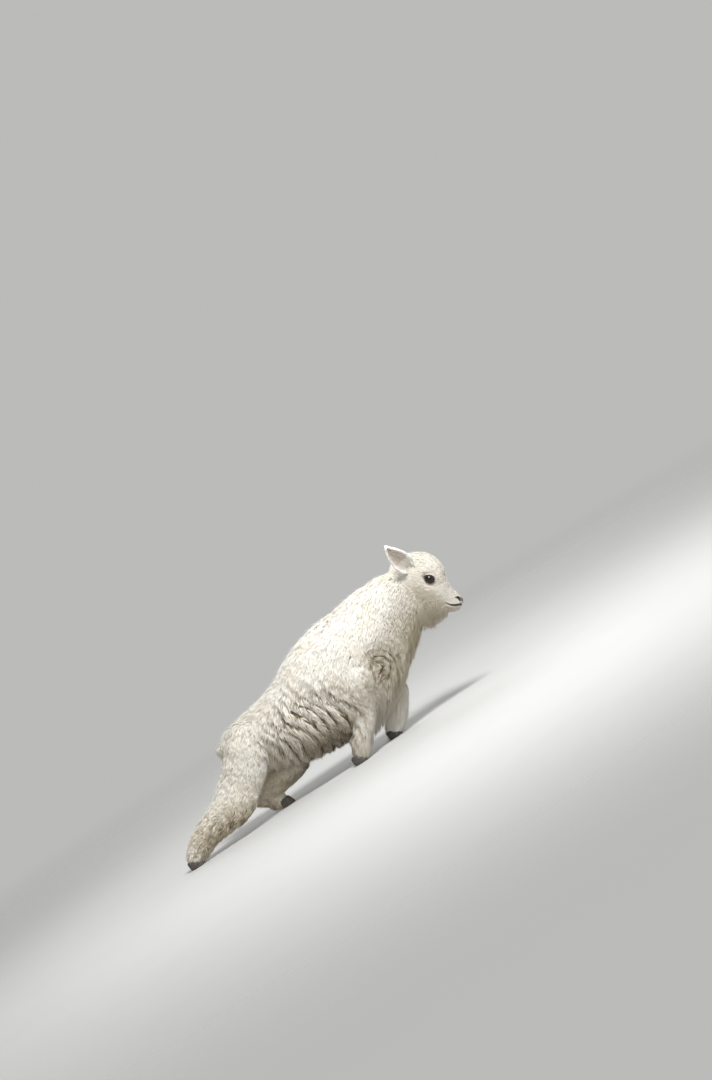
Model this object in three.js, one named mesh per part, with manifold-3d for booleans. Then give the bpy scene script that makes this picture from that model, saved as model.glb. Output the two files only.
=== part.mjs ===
// A mountain goat kid, about four weeks old and life size, in its woolly first coat.
// It strides uphill with the near hind leg stretched back and its head low.
// Millimetres: +X is forward, +Y is the kid's left, +Z is up, and the hooves stand at Z 0.
import * as THREE from "three";
import { mergeVertices } from "three/addons/utils/BufferGeometryUtils.js";
import Module from "manifold-3d";

const wasm = await Module();
wasm.setup();

// Sizes that are shared. Outlines below are those of the coat, out to its tips.
const GAP = 0.4; // between touching sub-parts
const SHARED = 5e-3; // cubic millimetres that two sub-parts may have in common
const RIGHT = -1;
const LEFT = 1;
const BODY_COAT = 24; // depth of the coat on the trunk
const LEG_COAT = 16; // on the thighs and shanks
const TAIL_COAT = 10;
const SHORT_COAT = 5; // on the face and the lower legs
const CORE_SHARE = 0.5; // of the coat's depth that lies over the solid core

// How high locks stand over a core: base is where the core's surface is, under the outline
const lockHeights = (coat) => ({ base: -coat * CORE_SHARE, reach: coat * CORE_SHARE });

// Trunk and neck in one sweep, rump to poll: [x, y, z, half height, half width]
const TRUNK = [
  [-262, 0, 190, 20, 22],
  [-249, 0, 185, 40, 44],
  [-215, 0, 175, 56, 60],
  [-165, 0, 173, 66, 69],
  [-115, 0, 168, 84, 74],
  [-60, 0, 166, 104, 78],
  [-5, 0, 174, 120, 80],
  [50, 0, 188, 126, 78],
  [102, 0, 205, 122, 73],
  [148, 0, 224, 109, 66],
  [188, 0, 243, 95, 58],
  [230, 0, 258, 82, 51],
  [266, 0, 271, 70, 46],
  [296, 0, 282, 52, 38],
];
const NECK_FROM = 9.1; // stations of TRUNK: the neck's ends
const NECK_TO = 12.9;

// The limbs, joint by joint, in the same form as TRUNK
const NEAR_FORE_UPPER = [
  [96, -46, 200, 36, 22],
  [86, -52, 172, 42, 28],
  [71, -51, 142, 37, 27],
  [63, -48, 116, 31, 24],
  [57, -46, 94, 26, 22],
];
const NEAR_FORE_LOWER = [
  [57, -46, 90, 25, 21.5],
  [42, -45, 71, 23.5, 19.5],
  [27, -44, 56, 23, 18.5],
  [12, -43, 39, 24, 19],
  [0, -42, 23, 18, 17],
];
const FAR_FORE_UPPER = [
  [86, 44, 178, 38, 22],
  [98, 50, 146, 36, 27],
  [124, 49, 115, 27, 24],
  [151, 47, 97, 22, 21],
];
const FAR_FORE_LOWER = [
  [154, 47, 93, 22.5, 20.5],
  [142, 46, 76, 22.5, 19],
  [126, 45, 60, 22, 18.5],
  [107, 44, 40, 23, 19],
  [94, 43, 23, 18, 17],
];
const NEAR_THIGH = [
  [-196, -38, 198, 42, 30],
  [-213, -44, 168, 50, 35],
  [-238, -46, 136, 52, 34],
  [-270, -46, 108, 48, 30],
];
const NEAR_SHANK = [
  [-272, -46, 106, 50, 30],
  [-303, -46, 80, 49, 29],
  [-340, -46, 66, 41, 26],
  [-380, -46, 56, 33, 23.5],
];
const NEAR_CANNON = [
  [-386, -46, 54, 31, 22.5],
  [-410, -46, 44, 28, 21],
  [-432, -46, 33, 23, 19],
  [-448, -46, 23, 17, 17],
];
const FAR_THIGH = [
  [-196, 38, 194, 42, 30],
  [-184, 45, 158, 50, 35],
  [-158, 47, 120, 49, 34],
  [-132, 48, 88, 42, 30],
];
const FAR_SHANK = [
  [-138, 48, 80, 37, 28],
  [-180, 48, 67, 33, 26],
  [-224, 47, 59, 27, 23],
  [-258, 47, 56, 22, 20.5],
];
const FAR_CANNON = [
  [-260, 47, 53, 21, 20],
  [-244, 46, 42, 20, 18.5],
  [-228, 46, 30, 18.5, 17.5],
  [-214, 45, 21, 15, 16],
];
const TAIL = [
  [-244, 0, 206, 13, 15],
  [-257, 0, 190, 15, 17],
  [-268, 0, 168, 14, 15],
  [-274, 0, 145, 9, 9],
];

// Each hoof: where its sole's middle is, and which way its toes point, in degrees from +X
const HOOVES = {
  fore_right: { at: [-8, -42], turn: -4 },
  fore_left: { at: [88, 43], turn: 4 },
  hind_right: { at: [-450, -46], turn: -5 },
  hind_left: { at: [-205, 45], turn: 6 },
};
const HOOF = { length: 33, width: 16, height: 20, cleft: 3, topShare: 0.74 };
const DEWCLAW = { radius: 5, length: 13, lean: 115, out: 9, back: 0.42, over: 9 }; // over the hoof

// Head: its own axis runs from the back of the skull to the nose and points down
const HEAD_AT = [299, 0, 303];
const HEAD_PITCH = 55;
// [along the axis, 0, middle, half height, half width]
const HEAD = [
  [-8, 0, 16, 40, 30],
  [8, 0, 13, 54, 38],
  [26, 0, 12, 60, 42],
  [44, 0, 11, 61, 42.5],
  [62, 0, 9, 57, 40.5],
  [76, 0, 4, 52, 36],
  [84, 0, -1, 45, 32],
  [96, 0, -6, 37, 27.5],
  [112, 0, -8.5, 29.5, 23],
  [127, 0, -9.5, 24.5, 19.5],
  [137, 0, -10, 21, 16.8],
  [142, 0, -10, 16.5, 13.2],
];
const EYE = { along: 54, up: 19, out: 31, radius: 13 };
const LIDS = { wide: 58, high: 43, thick: 1.8 }; // the opening, in degrees about the eye's middle
const NOSTRIL = { along: 133, up: 4, out: 10, long: 9, high: 2.8, deep: 7, tilt: 25, turn: 48 };
const MOUTH = { corner: [110, -17.3], front: [146, -5.5], sag: 4, gap: 1.3, deep: 4, lip: 2.1 };
const MOUTH_ENDS = [8.05, 10.9]; // along HEAD's stations: the corner and the front
const FRINGE = { from: 2.5, to: 9.3, deeper: 0.34, reach: 24 }; // along HEAD's stations
const EAR = {
  base: [-3, 31, 25], // along, out and up from the head's frame
  axis: [-63, 40, 22],
  facing: [0.4, 0.9, -0.12],
  length: 90,
  halfWidths: [12, 19, 22.5, 22.5, 19, 14, 8.5, 2.5],
  cup: 11,
  thick: 3,
};

const COLOURS = {
  coat: [0.86, 0.83, 0.74, 0.95],
  hoof: [0.09, 0.075, 0.065, 0.5],
  eye: [0.03, 0.018, 0.012, 0.08],
};

const vec = (x, y, z) => new THREE.Vector3(x, y, z);
const SIDEWAYS = vec(0, 1, 0);
const lerp = THREE.MathUtils.lerp;
const radians = THREE.MathUtils.degToRad;

// A repeatable stream of numbers from 0 to 1
function stream(seed) {
  let state = seed;
  return () => {
    state = (state * 1664525 + 1013904223) % 4294967296;
    return state / 4294967296;
  };
}

// A closed surface through rings of equally many points, with a point or a flat fan at each end
function loft(rings, { start = null, end = null, wrap = false, flip = () => false } = {}) {
  const sides = rings[0].length;
  const points = rings.flat();
  const faces = [];
  const bands = wrap ? rings.length : rings.length - 1;
  for (let i = 0; i < bands; i++) {
    const next = (i + 1) % rings.length;
    for (let j = 0; j < sides; j++) {
      const a = i * sides + j;
      const b = i * sides + ((j + 1) % sides);
      const c = next * sides + ((j + 1) % sides);
      const d = next * sides + j;
      if (flip(j)) faces.push(a, b, d, b, c, d);
      else faces.push(a, b, c, a, c, d);
    }
  }
  const middle = (ring) =>
    ring.reduce((sum, p) => sum.add(p), vec(0, 0, 0)).divideScalar(ring.length);
  if (!wrap) {
    const last = (rings.length - 1) * sides;
    points.push(start ?? middle(rings[0]), end ?? middle(rings.at(-1)));
    for (let j = 0; j < sides; j++) {
      const k = (j + 1) % sides;
      faces.push(points.length - 2, k, j);
      faces.push(points.length - 1, last + j, last + k);
    }
  }
  return new THREE.BufferGeometry().setFromPoints(points).setIndex(faces);
}

// A three.js geometry as a solid that can be joined and cut
function solidOf(geometry) {
  const bare = geometry.clone();
  bare.deleteAttribute("normal");
  bare.deleteAttribute("uv");
  const merged = mergeVertices(bare, 1e-3);
  const made = new wasm.Manifold(
    new wasm.Mesh({
      numProp: 3,
      vertProperties: new Float32Array(merged.attributes.position.array),
      triVerts: new Uint32Array(merged.index.array),
    }),
  );
  return made.volume() >= 0 ? made : solidOf(turnedRound(merged));
}

// The same geometry with its faces turned the other way
function turnedRound(geometry) {
  const index = geometry.index.array;
  for (let i = 0; i < index.length; i += 3) {
    [index[i + 1], index[i + 2]] = [index[i + 2], index[i + 1]];
  }
  return geometry;
}

const geometryOf = (solid) => {
  const made = solid.getMesh();
  return new THREE.BufferGeometry()
    .setAttribute("position", new THREE.BufferAttribute(made.vertProperties, made.numProp))
    .setIndex(new THREE.BufferAttribute(made.triVerts, 1));
};
// The same solid in the meshes' 32-bit numbers
const settled = (solid) => solidOf(geometryOf(solid));
const joined = (solids) => solids.reduce((all, s) => all.add(s));
const largest = (solid) =>
  solid.decompose().sort((a, b) => b.volume() - a.volume())[0];

// A body form: smooth sections along stations, in a frame, measured at t (a station's number) and angle a.
// Angle 0 is the section's upper side, and a quarter turn is its +Y side.
class Form {
  constructor(stations, { frame = new THREE.Matrix4(), section = null, upright = false } = {}) {
    this.last = stations.length - 1;
    this.upright = upright; // sections stand square to X instead of to the path
    this.frame = frame;
    this.section = section ?? ((t, a) => [Math.cos(a), Math.sin(a)]);
    const curve = (points) => new THREE.CatmullRomCurve3(points, false, "catmullrom", 0.5);
    this.path = curve(stations.map(([x, y, z]) => vec(x, y, z)));
    this.sizes = curve(stations.map(([, , , deep, wide]) => vec(deep, wide, 0)));
  }
  share(t) {
    return THREE.MathUtils.clamp(t / this.last, 0, 1);
  }
  axes(t) {
    const along = this.upright ? vec(1, 0, 0) : this.path.getTangent(this.share(t));
    const up = along.clone().cross(SIDEWAYS).normalize();
    return { along, up, side: up.clone().cross(along).normalize() };
  }
  // The surface, or a point lifted from it by so many millimetres
  point(t, a, lift = 0) {
    const { up, side } = this.axes(t);
    const size = this.sizes.getPoint(this.share(t));
    const [high, wide] = this.section(t, a);
    return this.path
      .getPoint(this.share(t))
      .addScaledVector(up, high * Math.max(size.x + lift, 1))
      .addScaledVector(side, wide * Math.max(size.y + lift, 1))
      .applyMatrix4(this.frame);
  }
  // How far the surface moves for a step of t and of a, and its outward normal
  slopes(t, a) {
    const step = 0.02;
    const alongT = this.point(Math.min(t + step, this.last), a)
      .sub(this.point(Math.max(t - step, 0), a))
      .divideScalar(Math.min(t + step, this.last) - Math.max(t - step, 0));
    const alongA = this.point(t, a + step).sub(this.point(t, a - step)).divideScalar(2 * step);
    return { alongT, alongA, normal: alongT.clone().cross(alongA).normalize() };
  }
  ring(t, sides, lift, scale = 1, shift = 0) {
    const centre = this.path.getPoint(this.share(t));
    const moved = this.axes(t).along.multiplyScalar(shift);
    const inner = centre.clone().applyMatrix4(this.frame);
    const shifted = centre.add(moved).applyMatrix4(this.frame);
    return Array.from({ length: sides }, (_, j) => {
      const p = this.point(t, (j / sides) * 2 * Math.PI, lift);
      return p.sub(inner).multiplyScalar(scale).add(shifted);
    });
  }
  // The solid from one t to another; an end is round or flat
  solid({ from = 0, to = this.last, rings = 12, sides = 14, lift = 0, round = [true, true] }) {
    const list = [];
    const endRings = (t, sign) => {
      const size = this.sizes.getPoint(this.share(t));
      const reach = Math.min(size.x, size.y) + lift;
      return [
        this.ring(t, sides, lift, 0.83, sign * reach * 0.42),
        this.ring(t, sides, lift, 0.5, sign * reach * 0.72),
      ];
    };
    if (round[0]) list.push(...endRings(from, -1).reverse());
    for (let i = 0; i <= rings; i++) list.push(this.ring(lerp(from, to, i / rings), sides, lift));
    if (round[1]) list.push(...endRings(to, 1));
    return solidOf(loft(list));
  }
  // How deep a point lies in the form: 0 on its axis, 1 on its surface
  depth(p) {
    const local = p.clone().applyMatrix4(this.frame.clone().invert());
    let least = Infinity;
    for (let i = 0; i <= this.last * 4; i++) {
      const t = i / 4;
      const rel = local.clone().sub(this.path.getPoint(this.share(t)));
      const { along, up, side } = this.axes(t);
      const size = this.sizes.getPoint(this.share(t));
      const spread = Math.min(size.x, size.y);
      least = Math.min(
        least,
        Math.hypot(rel.dot(up) / size.x, rel.dot(side) / size.y, rel.dot(along) / spread),
      );
    }
    return least;
  }
}

// A flat tapered lock. Its root is sunk in a form's core at (t, a), and it follows the lie and bends
// back down to the coat. Rises are shares of the coat's reach over the core.
// lie is 0 towards lower t and a quarter turn towards higher a.
const LOCK_AT = [0, 0.36, 0.72, 1]; // of its length: root, two rings, tip
const LOCK_WIDTHS = [0, 0.95, 0.85, 0];
const LOCK_THICK = [0, 1, 0.85, 0];
const LYING = [-0.8, 0.22, 0.62, 0.42];
const HANGING = [-0.5, 0.3, 0.72, 1];

function lockPath(form, { t, a, lie, length }) {
  const places = [];
  const count = 12;
  let [u, v] = [t, a];
  for (let i = 0; i <= count; i++) {
    places.push([u, v]);
    const { alongT, alongA } = form.slopes(u, v);
    u -= (Math.cos(lie) * length) / count / alongT.length();
    v += (Math.sin(lie) * length) / count / Math.max(alongA.length(), 4);
  }
  return (k) => places[Math.round(THREE.MathUtils.clamp(k, 0, 1) * count)];
}

function lockSolid(form, spec, grow = 0) {
  const { width, thick, base, reach, rises = LYING } = spec;
  const place = lockPath(form, spec);
  const at = (k, rise) => form.point(...place(k), base + reach * rise);
  const rings = [1, 2].map((i) => {
    const { normal } = form.slopes(...place(LOCK_AT[i]));
    const ahead = at(LOCK_AT[i + 1], rises[i + 1]).sub(at(LOCK_AT[i - 1], rises[i - 1])).normalize();
    const across = ahead.clone().cross(normal).normalize();
    const flat = across.clone().cross(ahead);
    const middle = at(LOCK_AT[i], rises[i]);
    const side = (width * LOCK_WIDTHS[i]) / 2 + grow;
    const half = (thick * LOCK_THICK[i]) / 2 + grow;
    return [[side, 0], [0, half], [-side, 0], [0, -half]].map(([wide, high]) =>
      middle.clone().addScaledVector(across, wide).addScaledVector(flat, high),
    );
  });
  const [root, first, second, tip] = LOCK_AT.map((k, i) => at(k, rises[i]));
  const past = (end, from) => end.clone().addScaledVector(end.clone().sub(from).normalize(), 2 * grow);
  return solidOf(loft(rings, { start: past(root, first), end: past(tip, second) }));
}

// The places on a lock's path that tell whether it stays clear
function lockProbes(form, spec) {
  const place = lockPath(form, spec);
  return [0.5, 0.75, 1].map((k) => form.point(...place(k), spec.base + spec.reach * k));
}

// Locks in staggered rows over a form, each kept where clear() says that its probes are free
function coatOf(form, settings) {
  const { rows, gap, lie, clear, seed, angles = () => true, ...size } = settings;
  const random = stream(seed);
  const specs = [];
  rows.forEach((t, row) => {
    const around =
      (form.slopes(t, Math.PI / 2).alongA.length() + form.slopes(t, 0).alongA.length()) * Math.PI;
    const count = Math.max(5, Math.round(around / gap));
    for (let j = 0; j < count; j++) {
      const a = ((j + (row % 2) / 2 + 0.25 * (random() - 0.5)) / count) * 2 * Math.PI;
      const spec = {
        ...size,
        t: t + 0.12 * (random() - 0.5),
        a,
        lie: lie(a, t) + 0.3 * (random() - 0.5),
        length: size.length * (0.85 + 0.3 * random()),
        width: size.width * (0.9 + 0.2 * random()),
      };
      if (!angles(a, t)) continue;
      for (let tries = 0; tries < 3; tries++) {
        if (lockProbes(form, spec).every(clear)) {
          specs.push(spec);
          break;
        }
        spec.length *= 0.8;
      }
    }
  });
  return specs;
}

// The trunk, neck, limbs and head as forms
const trunk = new Form(TRUNK);
const headFrame = new THREE.Matrix4()
  .makeRotationY(radians(HEAD_PITCH))
  .setPosition(...HEAD_AT);

// A head's section is widest above its middle, with a narrow brow, bridge and jaw,
// and it is deeper below where the core of the jaw's fringe hangs
function headSection(t, a) {
  const [up, out] = [Math.cos(a), Math.sin(a)];
  const narrow = up > 0 ? 0.16 * up ** 2 : 0.3 * up ** 2;
  const { from, to, deeper } = FRINGE;
  const hang = Math.sin(Math.PI * THREE.MathUtils.clamp((t - from) / (to - from), 0, 1));
  const fringe = up < 0 ? deeper * hang * up ** 2 : 0;
  return [up * (1 + fringe), out * (1 - narrow)];
}
const head = new Form(HEAD, { frame: headFrame, section: headSection, upright: true });

const limbs = {
  fore_right_upper: new Form(NEAR_FORE_UPPER),
  fore_right_lower: new Form(NEAR_FORE_LOWER),
  fore_left_upper: new Form(FAR_FORE_UPPER),
  fore_left_lower: new Form(FAR_FORE_LOWER),
  hind_right_thigh: new Form(NEAR_THIGH),
  hind_right_shank: new Form(NEAR_SHANK),
  hind_right_cannon: new Form(NEAR_CANNON),
  hind_left_thigh: new Form(FAR_THIGH),
  hind_left_shank: new Form(FAR_SHANK),
  hind_left_cannon: new Form(FAR_CANNON),
};
const tail = new Form(TAIL);

// A place in the head's frame, for the right or the left side
const onHead = (along, out, up) => vec(along, out, up).applyMatrix4(headFrame);

// One toe of a hoof: a wedge with a flat sole, round in front
function toe({ at, turn }, side, grow = 0) {
  const { length, width, height, cleft, topShare } = HOOF;
  const outline = (scale, z, back) => {
    const points = [];
    const halfLength = (length / 2) * scale + grow;
    const halfWidth = (width / 2) * scale + grow;
    const count = 12;
    for (let j = 0; j < count; j++) {
      const angle = (j / count) * 2 * Math.PI;
      const x = Math.cos(angle) * halfLength - back;
      const pointed = Math.cos(angle) > 0 ? 1 - 0.3 * Math.cos(angle) : 1;
      points.push(vec(x, Math.sin(angle) * halfWidth * pointed, z));
    }
    return points;
  };
  const rings = [
    outline(0.96, -grow, 0),
    outline(1, 3, 0),
    outline((1 + topShare) / 2, height * 0.6, 2.5),
    outline(topShare, height + grow, 5),
  ];
  const turned = new THREE.Matrix4()
    .makeRotationZ(radians(turn))
    .setPosition(at[0], at[1], 0);
  const aside = new THREE.Matrix4().makeTranslation(0, (side * (width + cleft)) / 2, 0);
  return solidOf(loft(rings).applyMatrix4(aside).applyMatrix4(turned));
}

// Two dewclaws behind a fetlock
function dewclaws({ at, turn }) {
  const { radius, length, lean, out, back, over } = DEWCLAW;
  return [RIGHT, LEFT].map((side) => {
    const cone = new THREE.CylinderGeometry(radius * 0.4, radius, length, 6)
      .rotateX(radians(-90))
      .rotateY(radians(lean))
      .translate(-HOOF.length * back, side * out, HOOF.height + over)
      .rotateZ(radians(turn))
      .translate(at[0], at[1], 0);
    return solidOf(cone);
  });
}

// An eyeball
function eyeball(side, grow = 0) {
  const { along, up, out, radius } = EYE;
  return solidOf(
    new THREE.SphereGeometry(radius + grow, 14, 9).applyMatrix4(
      new THREE.Matrix4().setPosition(onHead(along, side * out, up)),
    ),
  );
}

// A closed rim that follows the lids' edge on the eyeball
function lidRim(side) {
  const { along, up, out, radius } = EYE;
  const count = 14;
  const rings = [];
  const lidAt = (angle, reach) => {
    const wide = Math.sin(radians(LIDS.wide)) * Math.cos(angle);
    const high = Math.sin(radians(LIDS.high)) * Math.sin(angle);
    const depth = Math.sqrt(Math.max(0, 1 - wide ** 2 - high ** 2));
    return onHead(along + wide * reach, side * (out + depth * reach), up + high * reach);
  };
  const centre = onHead(along, side * out, up);
  for (let i = 0; i < count; i++) {
    const angle = (i / count) * 2 * Math.PI;
    const middle = lidAt(angle, radius + 0.6);
    const outward = middle.clone().sub(centre).normalize();
    const ahead = lidAt(angle + 0.05, radius).sub(lidAt(angle - 0.05, radius)).normalize();
    const across = outward.clone().cross(ahead).normalize();
    rings.push(
      Array.from({ length: 4 }, (_, j) => {
        const b = (j / 4) * 2 * Math.PI;
        return middle
          .clone()
          .addScaledVector(outward, Math.cos(b) * LIDS.thick)
          .addScaledVector(across, Math.sin(b) * LIDS.thick * 1.5);
      }),
    );
  }
  return solidOf(loft(rings, { wrap: true }));
}

// Height of the mouth's line in the head's frame, from its corner to the front
function mouthHeight(along) {
  const [from, to] = [MOUTH.corner, MOUTH.front];
  const share = THREE.MathUtils.clamp((along - from[0]) / (to[0] - from[0]), 0, 1);
  return lerp(from[1], to[1], share) - MOUTH.sag * Math.sin(Math.PI * share);
}

// A place on the mouth's line, by its angle round the muzzle from the left corner to the right one,
// raised by some millimetres and moved out of the surface by others
function mouthPoint(angle, raise, out) {
  const t = lerp(...MOUTH_ENDS, Math.sin(angle));
  const centre = head.path.getPoint(head.share(t));
  const size = head.sizes.getPoint(head.share(t));
  const z = mouthHeight(centre.x) + raise;
  const high = THREE.MathUtils.clamp((z - centre.z) / size.x, -1, 1);
  const wide = headSection(t, Math.acos(high))[1] * size.y;
  const x = centre.x + Math.sin(angle) ** 3 * out;
  return onHead(x, Math.cos(angle) * (wide + out), z);
}
const MOUTH_STEPS = 12;
const mouthAngles = Array.from({ length: MOUTH_STEPS + 1 }, (_, i) => (i / MOUTH_STEPS) * Math.PI);

// The mouth's slit, cut round the muzzle
function mouthSlit() {
  const half = MOUTH.gap / 2;
  const corners = [[half, 4], [-half, 4], [-half, -MOUTH.deep], [half, -MOUTH.deep]];
  return solidOf(loft(mouthAngles.map((angle) => corners.map(([up, out]) => mouthPoint(angle, up, out)))));
}

// A lip: a slim roll beside the slit
function lip(raise) {
  const rings = mouthAngles.map((angle) => {
    const thick = MOUTH.lip * (0.6 + 0.4 * Math.sin(angle));
    const corners = [[thick, -0.6], [0, thick - 0.6], [-thick, -0.6], [0, -thick - 0.6]];
    return corners.map(([up, out]) => mouthPoint(angle, raise + up, out));
  });
  return solidOf(loft(rings));
}

// The hollow of one nostril
function nostril(side) {
  const { along, up, out, long, high, deep, tilt, turn } = NOSTRIL;
  const bead = new THREE.SphereGeometry(1, 10, 8)
    .scale(deep, long / 2, high)
    .rotateX(radians(side * tilt))
    .rotateZ(radians(side * turn))
    .translate(along, side * out, up)
    .applyMatrix4(headFrame);
  return solidOf(bead);
}

// An ear: a leaf whose edges curl towards the side it faces
function ear(side, grow = 0) {
  const { base, axis, facing, length, halfWidths, cup, thick } = EAR;
  const turn = (v) => vec(v[0], side * v[1], v[2]).transformDirection(headFrame);
  const along = turn(axis);
  const front = turn(facing);
  front.addScaledVector(along, -front.dot(along)).normalize();
  const across = along.clone().cross(front).normalize();
  const root = onHead(base[0], side * base[1], base[2]);
  const half = 7;
  const rings = halfWidths.map((wide, i) => {
    const share = i / (halfWidths.length - 1);
    const reach = length * (share - 0.08) + grow * (2 * share - 1);
    const middle = root.clone().addScaledVector(along, reach);
    const arc = (inner) =>
      Array.from({ length: half }, (_, j) => {
        const s = (j / (half - 1)) * 2 - 1;
        const rim = Math.abs(s) > 0.99;
        const curl = cup * (1 - 0.6 * share) * s ** 2 + cup * 0.5 * share ** 2;
        const thin = (thick / 2) * (1 - 0.55 * s ** 2) * (1 - 0.5 * share);
        const forward = inner ? thin + grow * (rim ? 2 : 1) : -thin - grow;
        return middle
          .clone()
          .addScaledVector(across, s * (wide + (inner && !rim ? -grow : grow)))
          .addScaledVector(front, curl + forward);
      });
    return [...arc(false), ...arc(true).reverse()];
  });
  return solidOf(loft(rings, { flip: (j) => j >= half }));
}

// Whether a point stays outside some forms by a share of their size
const outside = (forms, share = 1) => (p) => forms.every((f) => f.depth(p) > share);

const upperLimbs = [
  limbs.fore_right_upper,
  limbs.fore_left_upper,
  limbs.hind_right_thigh,
  limbs.hind_left_thigh,
];
const FLOOR_CLEARANCE = 6;
const aboveFloor = (p) => p.z > FLOOR_CLEARANCE;

// Trunk: hair lies back along the spine and turns down on the flanks and belly
const downTurn = (a) => -Math.sin(a) * Math.sign(Math.cos(a) + 0.35) * 0.75;
const TRUNK_LOCKS = { gap: 46, length: 63, width: 39, thick: 9 };
const NECK_LOCKS = { gap: 40, length: 52, width: 34, thick: 8.5 };
const FRINGE_LOCKS = { gap: 25, length: 22, width: 25, thick: 8 };
const CROWN_LOCKS = { gap: 34, length: 34, width: 27, thick: 5 };
const LIMB_LOCKS = { gap: 41, length: 48, width: 33, thick: 7 };
const TAIL_LOCKS = { gap: 20, length: 34, width: 17, thick: 5 };
const stations = (from, to, count) =>
  Array.from({ length: count }, (_, i) => lerp(from, to, i / (count - 1)));

const trunkCoat = coatOf(trunk, {
  rows: stations(1.8, 9.1, 8),
  ...TRUNK_LOCKS,
  ...lockHeights(BODY_COAT),
  lie: (a) => -downTurn(a),
  clear: (p) => outside(upperLimbs, 1.06)(p) && aboveFloor(p),
  seed: 11,
});
const neckCoat = coatOf(trunk, {
  rows: stations(10.5, 12.6, 3),
  ...NECK_LOCKS,
  ...lockHeights(BODY_COAT),
  lie: (a) => -downTurn(a),
  clear: outside([head], 1.05),
  seed: 23,
});

// Jaw fringe and crown of the head
const headCoat = [
  ...coatOf(head, {
    rows: [3.8, 5, 6.2, 7.3],
    ...FRINGE_LOCKS,
    base: -SHORT_COAT * CORE_SHARE,
    reach: FRINGE.reach,
    rises: HANGING,
    lie: () => Math.PI,
    clear: aboveFloor,
    angles: (a) => Math.cos(a) < -0.7,
    seed: 5,
  }),
  ...coatOf(head, {
    rows: [1.9, 3.6],
    ...CROWN_LOCKS,
    base: -SHORT_COAT * CORE_SHARE,
    reach: 5,
    lie: () => 0,
    clear: () => true,
    angles: (a) => Math.cos(a) > 0.72,
    seed: 7,
  }),
];

// Limb coats: hair runs down each limb, so towards higher t
const limbCoat = (name, rows, settings, clear) =>
  coatOf(limbs[name], {
    rows,
    ...LIMB_LOCKS,
    ...lockHeights(LEG_COAT),
    lie: () => Math.PI,
    clear,
    seed: name.length * 7 + name.charCodeAt(5),
    ...settings,
  });

const clearOf = (...names) => {
  const test = outside(names.map((n) => limbs[n] ?? n), 1.04);
  return (p) => test(p) && aboveFloor(p);
};
const limbCoats = {
  hind_right_thigh: limbCoat("hind_right_thigh", [0.4, 1.5], {}, clearOf(trunk)),
  hind_right_shank: limbCoat("hind_right_shank", [0.5, 1.7], {}, clearOf(trunk)),
  hind_left_thigh: limbCoat("hind_left_thigh", [0.4, 1.5], {}, clearOf(trunk)),
  hind_left_shank: limbCoat("hind_left_shank", [0.5, 1.5], {}, clearOf("hind_left_thigh", trunk)),
  fore_right_upper: limbCoat("fore_right_upper", [1.0, 2.0], {}, clearOf(trunk)),
  fore_left_upper: limbCoat("fore_left_upper", [1.0, 1.9], {}, clearOf(trunk)),
  tail: coatOf(tail, {
    rows: [1.1, 2.0],
    ...TAIL_LOCKS,
    ...lockHeights(TAIL_COAT),
    lie: () => Math.PI,
    clear: outside([trunk], 0.98),
    seed: 3,
  }),
};

const LIMB_CORE = {
  thigh: { lift: -LEG_COAT * CORE_SHARE, rings: 5, sides: 12 },
  shank: { lift: -LEG_COAT * CORE_SHARE, rings: 4, sides: 10 },
  upper: { lift: -LEG_COAT * CORE_SHARE, rings: 4, sides: 10 },
  lower: { lift: -SHORT_COAT * CORE_SHARE, rings: 5, sides: 10 },
  cannon: { lift: -SHORT_COAT * CORE_SHARE, rings: 4, sides: 10 },
};

// Each sub-part as a function of how far it is grown, which the cuts beside it use
const builders = {};
const SIDES = [["right", RIGHT], ["left", LEFT]];
for (const [name, side] of SIDES) builders[`eye_${name}`] = (grow) => eyeball(side, grow);
builders.head = (grow) => {
  const core = head.solid({
    lift: grow - SHORT_COAT * CORE_SHARE,
    rings: 13,
    sides: 16,
  });
  const locks = headCoat.map((spec) => lockSolid(head, spec, grow));
  if (grow > 0) return joined([core, ...locks]);
  const features = [core, ...locks, lidRim(RIGHT), lidRim(LEFT), lip(3), lip(-3)];
  return joined(features)
    .subtract(mouthSlit())
    .subtract(nostril(RIGHT))
    .subtract(nostril(LEFT));
};
for (const [name, side] of SIDES) builders[`ear_${name}`] = (grow) => ear(side, grow);
for (const [foot, place] of Object.entries(HOOVES)) {
  builders[`${foot}_toe_outer`] = (grow) => toe(place, foot.endsWith("right") ? RIGHT : LEFT, grow);
  builders[`${foot}_toe_inner`] = (grow) => toe(place, foot.endsWith("right") ? LEFT : RIGHT, grow);
}
for (const [name, form] of Object.entries(limbs)) {
  const part = name.split("_").at(-1);
  const foot = name.split("_").slice(0, 2).join("_");
  builders[name] = (grow) => {
    const core = form.solid({ ...LIMB_CORE[part], lift: LIMB_CORE[part].lift + grow });
    const locks = (limbCoats[name] ?? []).map((spec) => lockSolid(form, spec, grow));
    const claws = part === "lower" || part === "cannon" ? dewclaws(HOOVES[foot]) : [];
    return joined([core, ...locks, ...claws]);
  };
}
builders.tail = (grow) =>
  joined([
    tail.solid({ lift: grow - TAIL_COAT * CORE_SHARE, rings: 6, sides: 10 }),
    ...limbCoats.tail.map((spec) => lockSolid(tail, spec, grow)),
  ]);
const CUT = 0.004; // half of the cut between neck and torso, in stations
builders.neck = (grow) =>
  joined([
    trunk.solid({
      from: NECK_FROM + CUT,
      to: NECK_TO,
      lift: grow - BODY_COAT * CORE_SHARE,
      rings: 5,
      sides: 16,
      round: [false, true],
    }),
    ...neckCoat.map((spec) => lockSolid(trunk, spec, grow)),
  ]);
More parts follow.
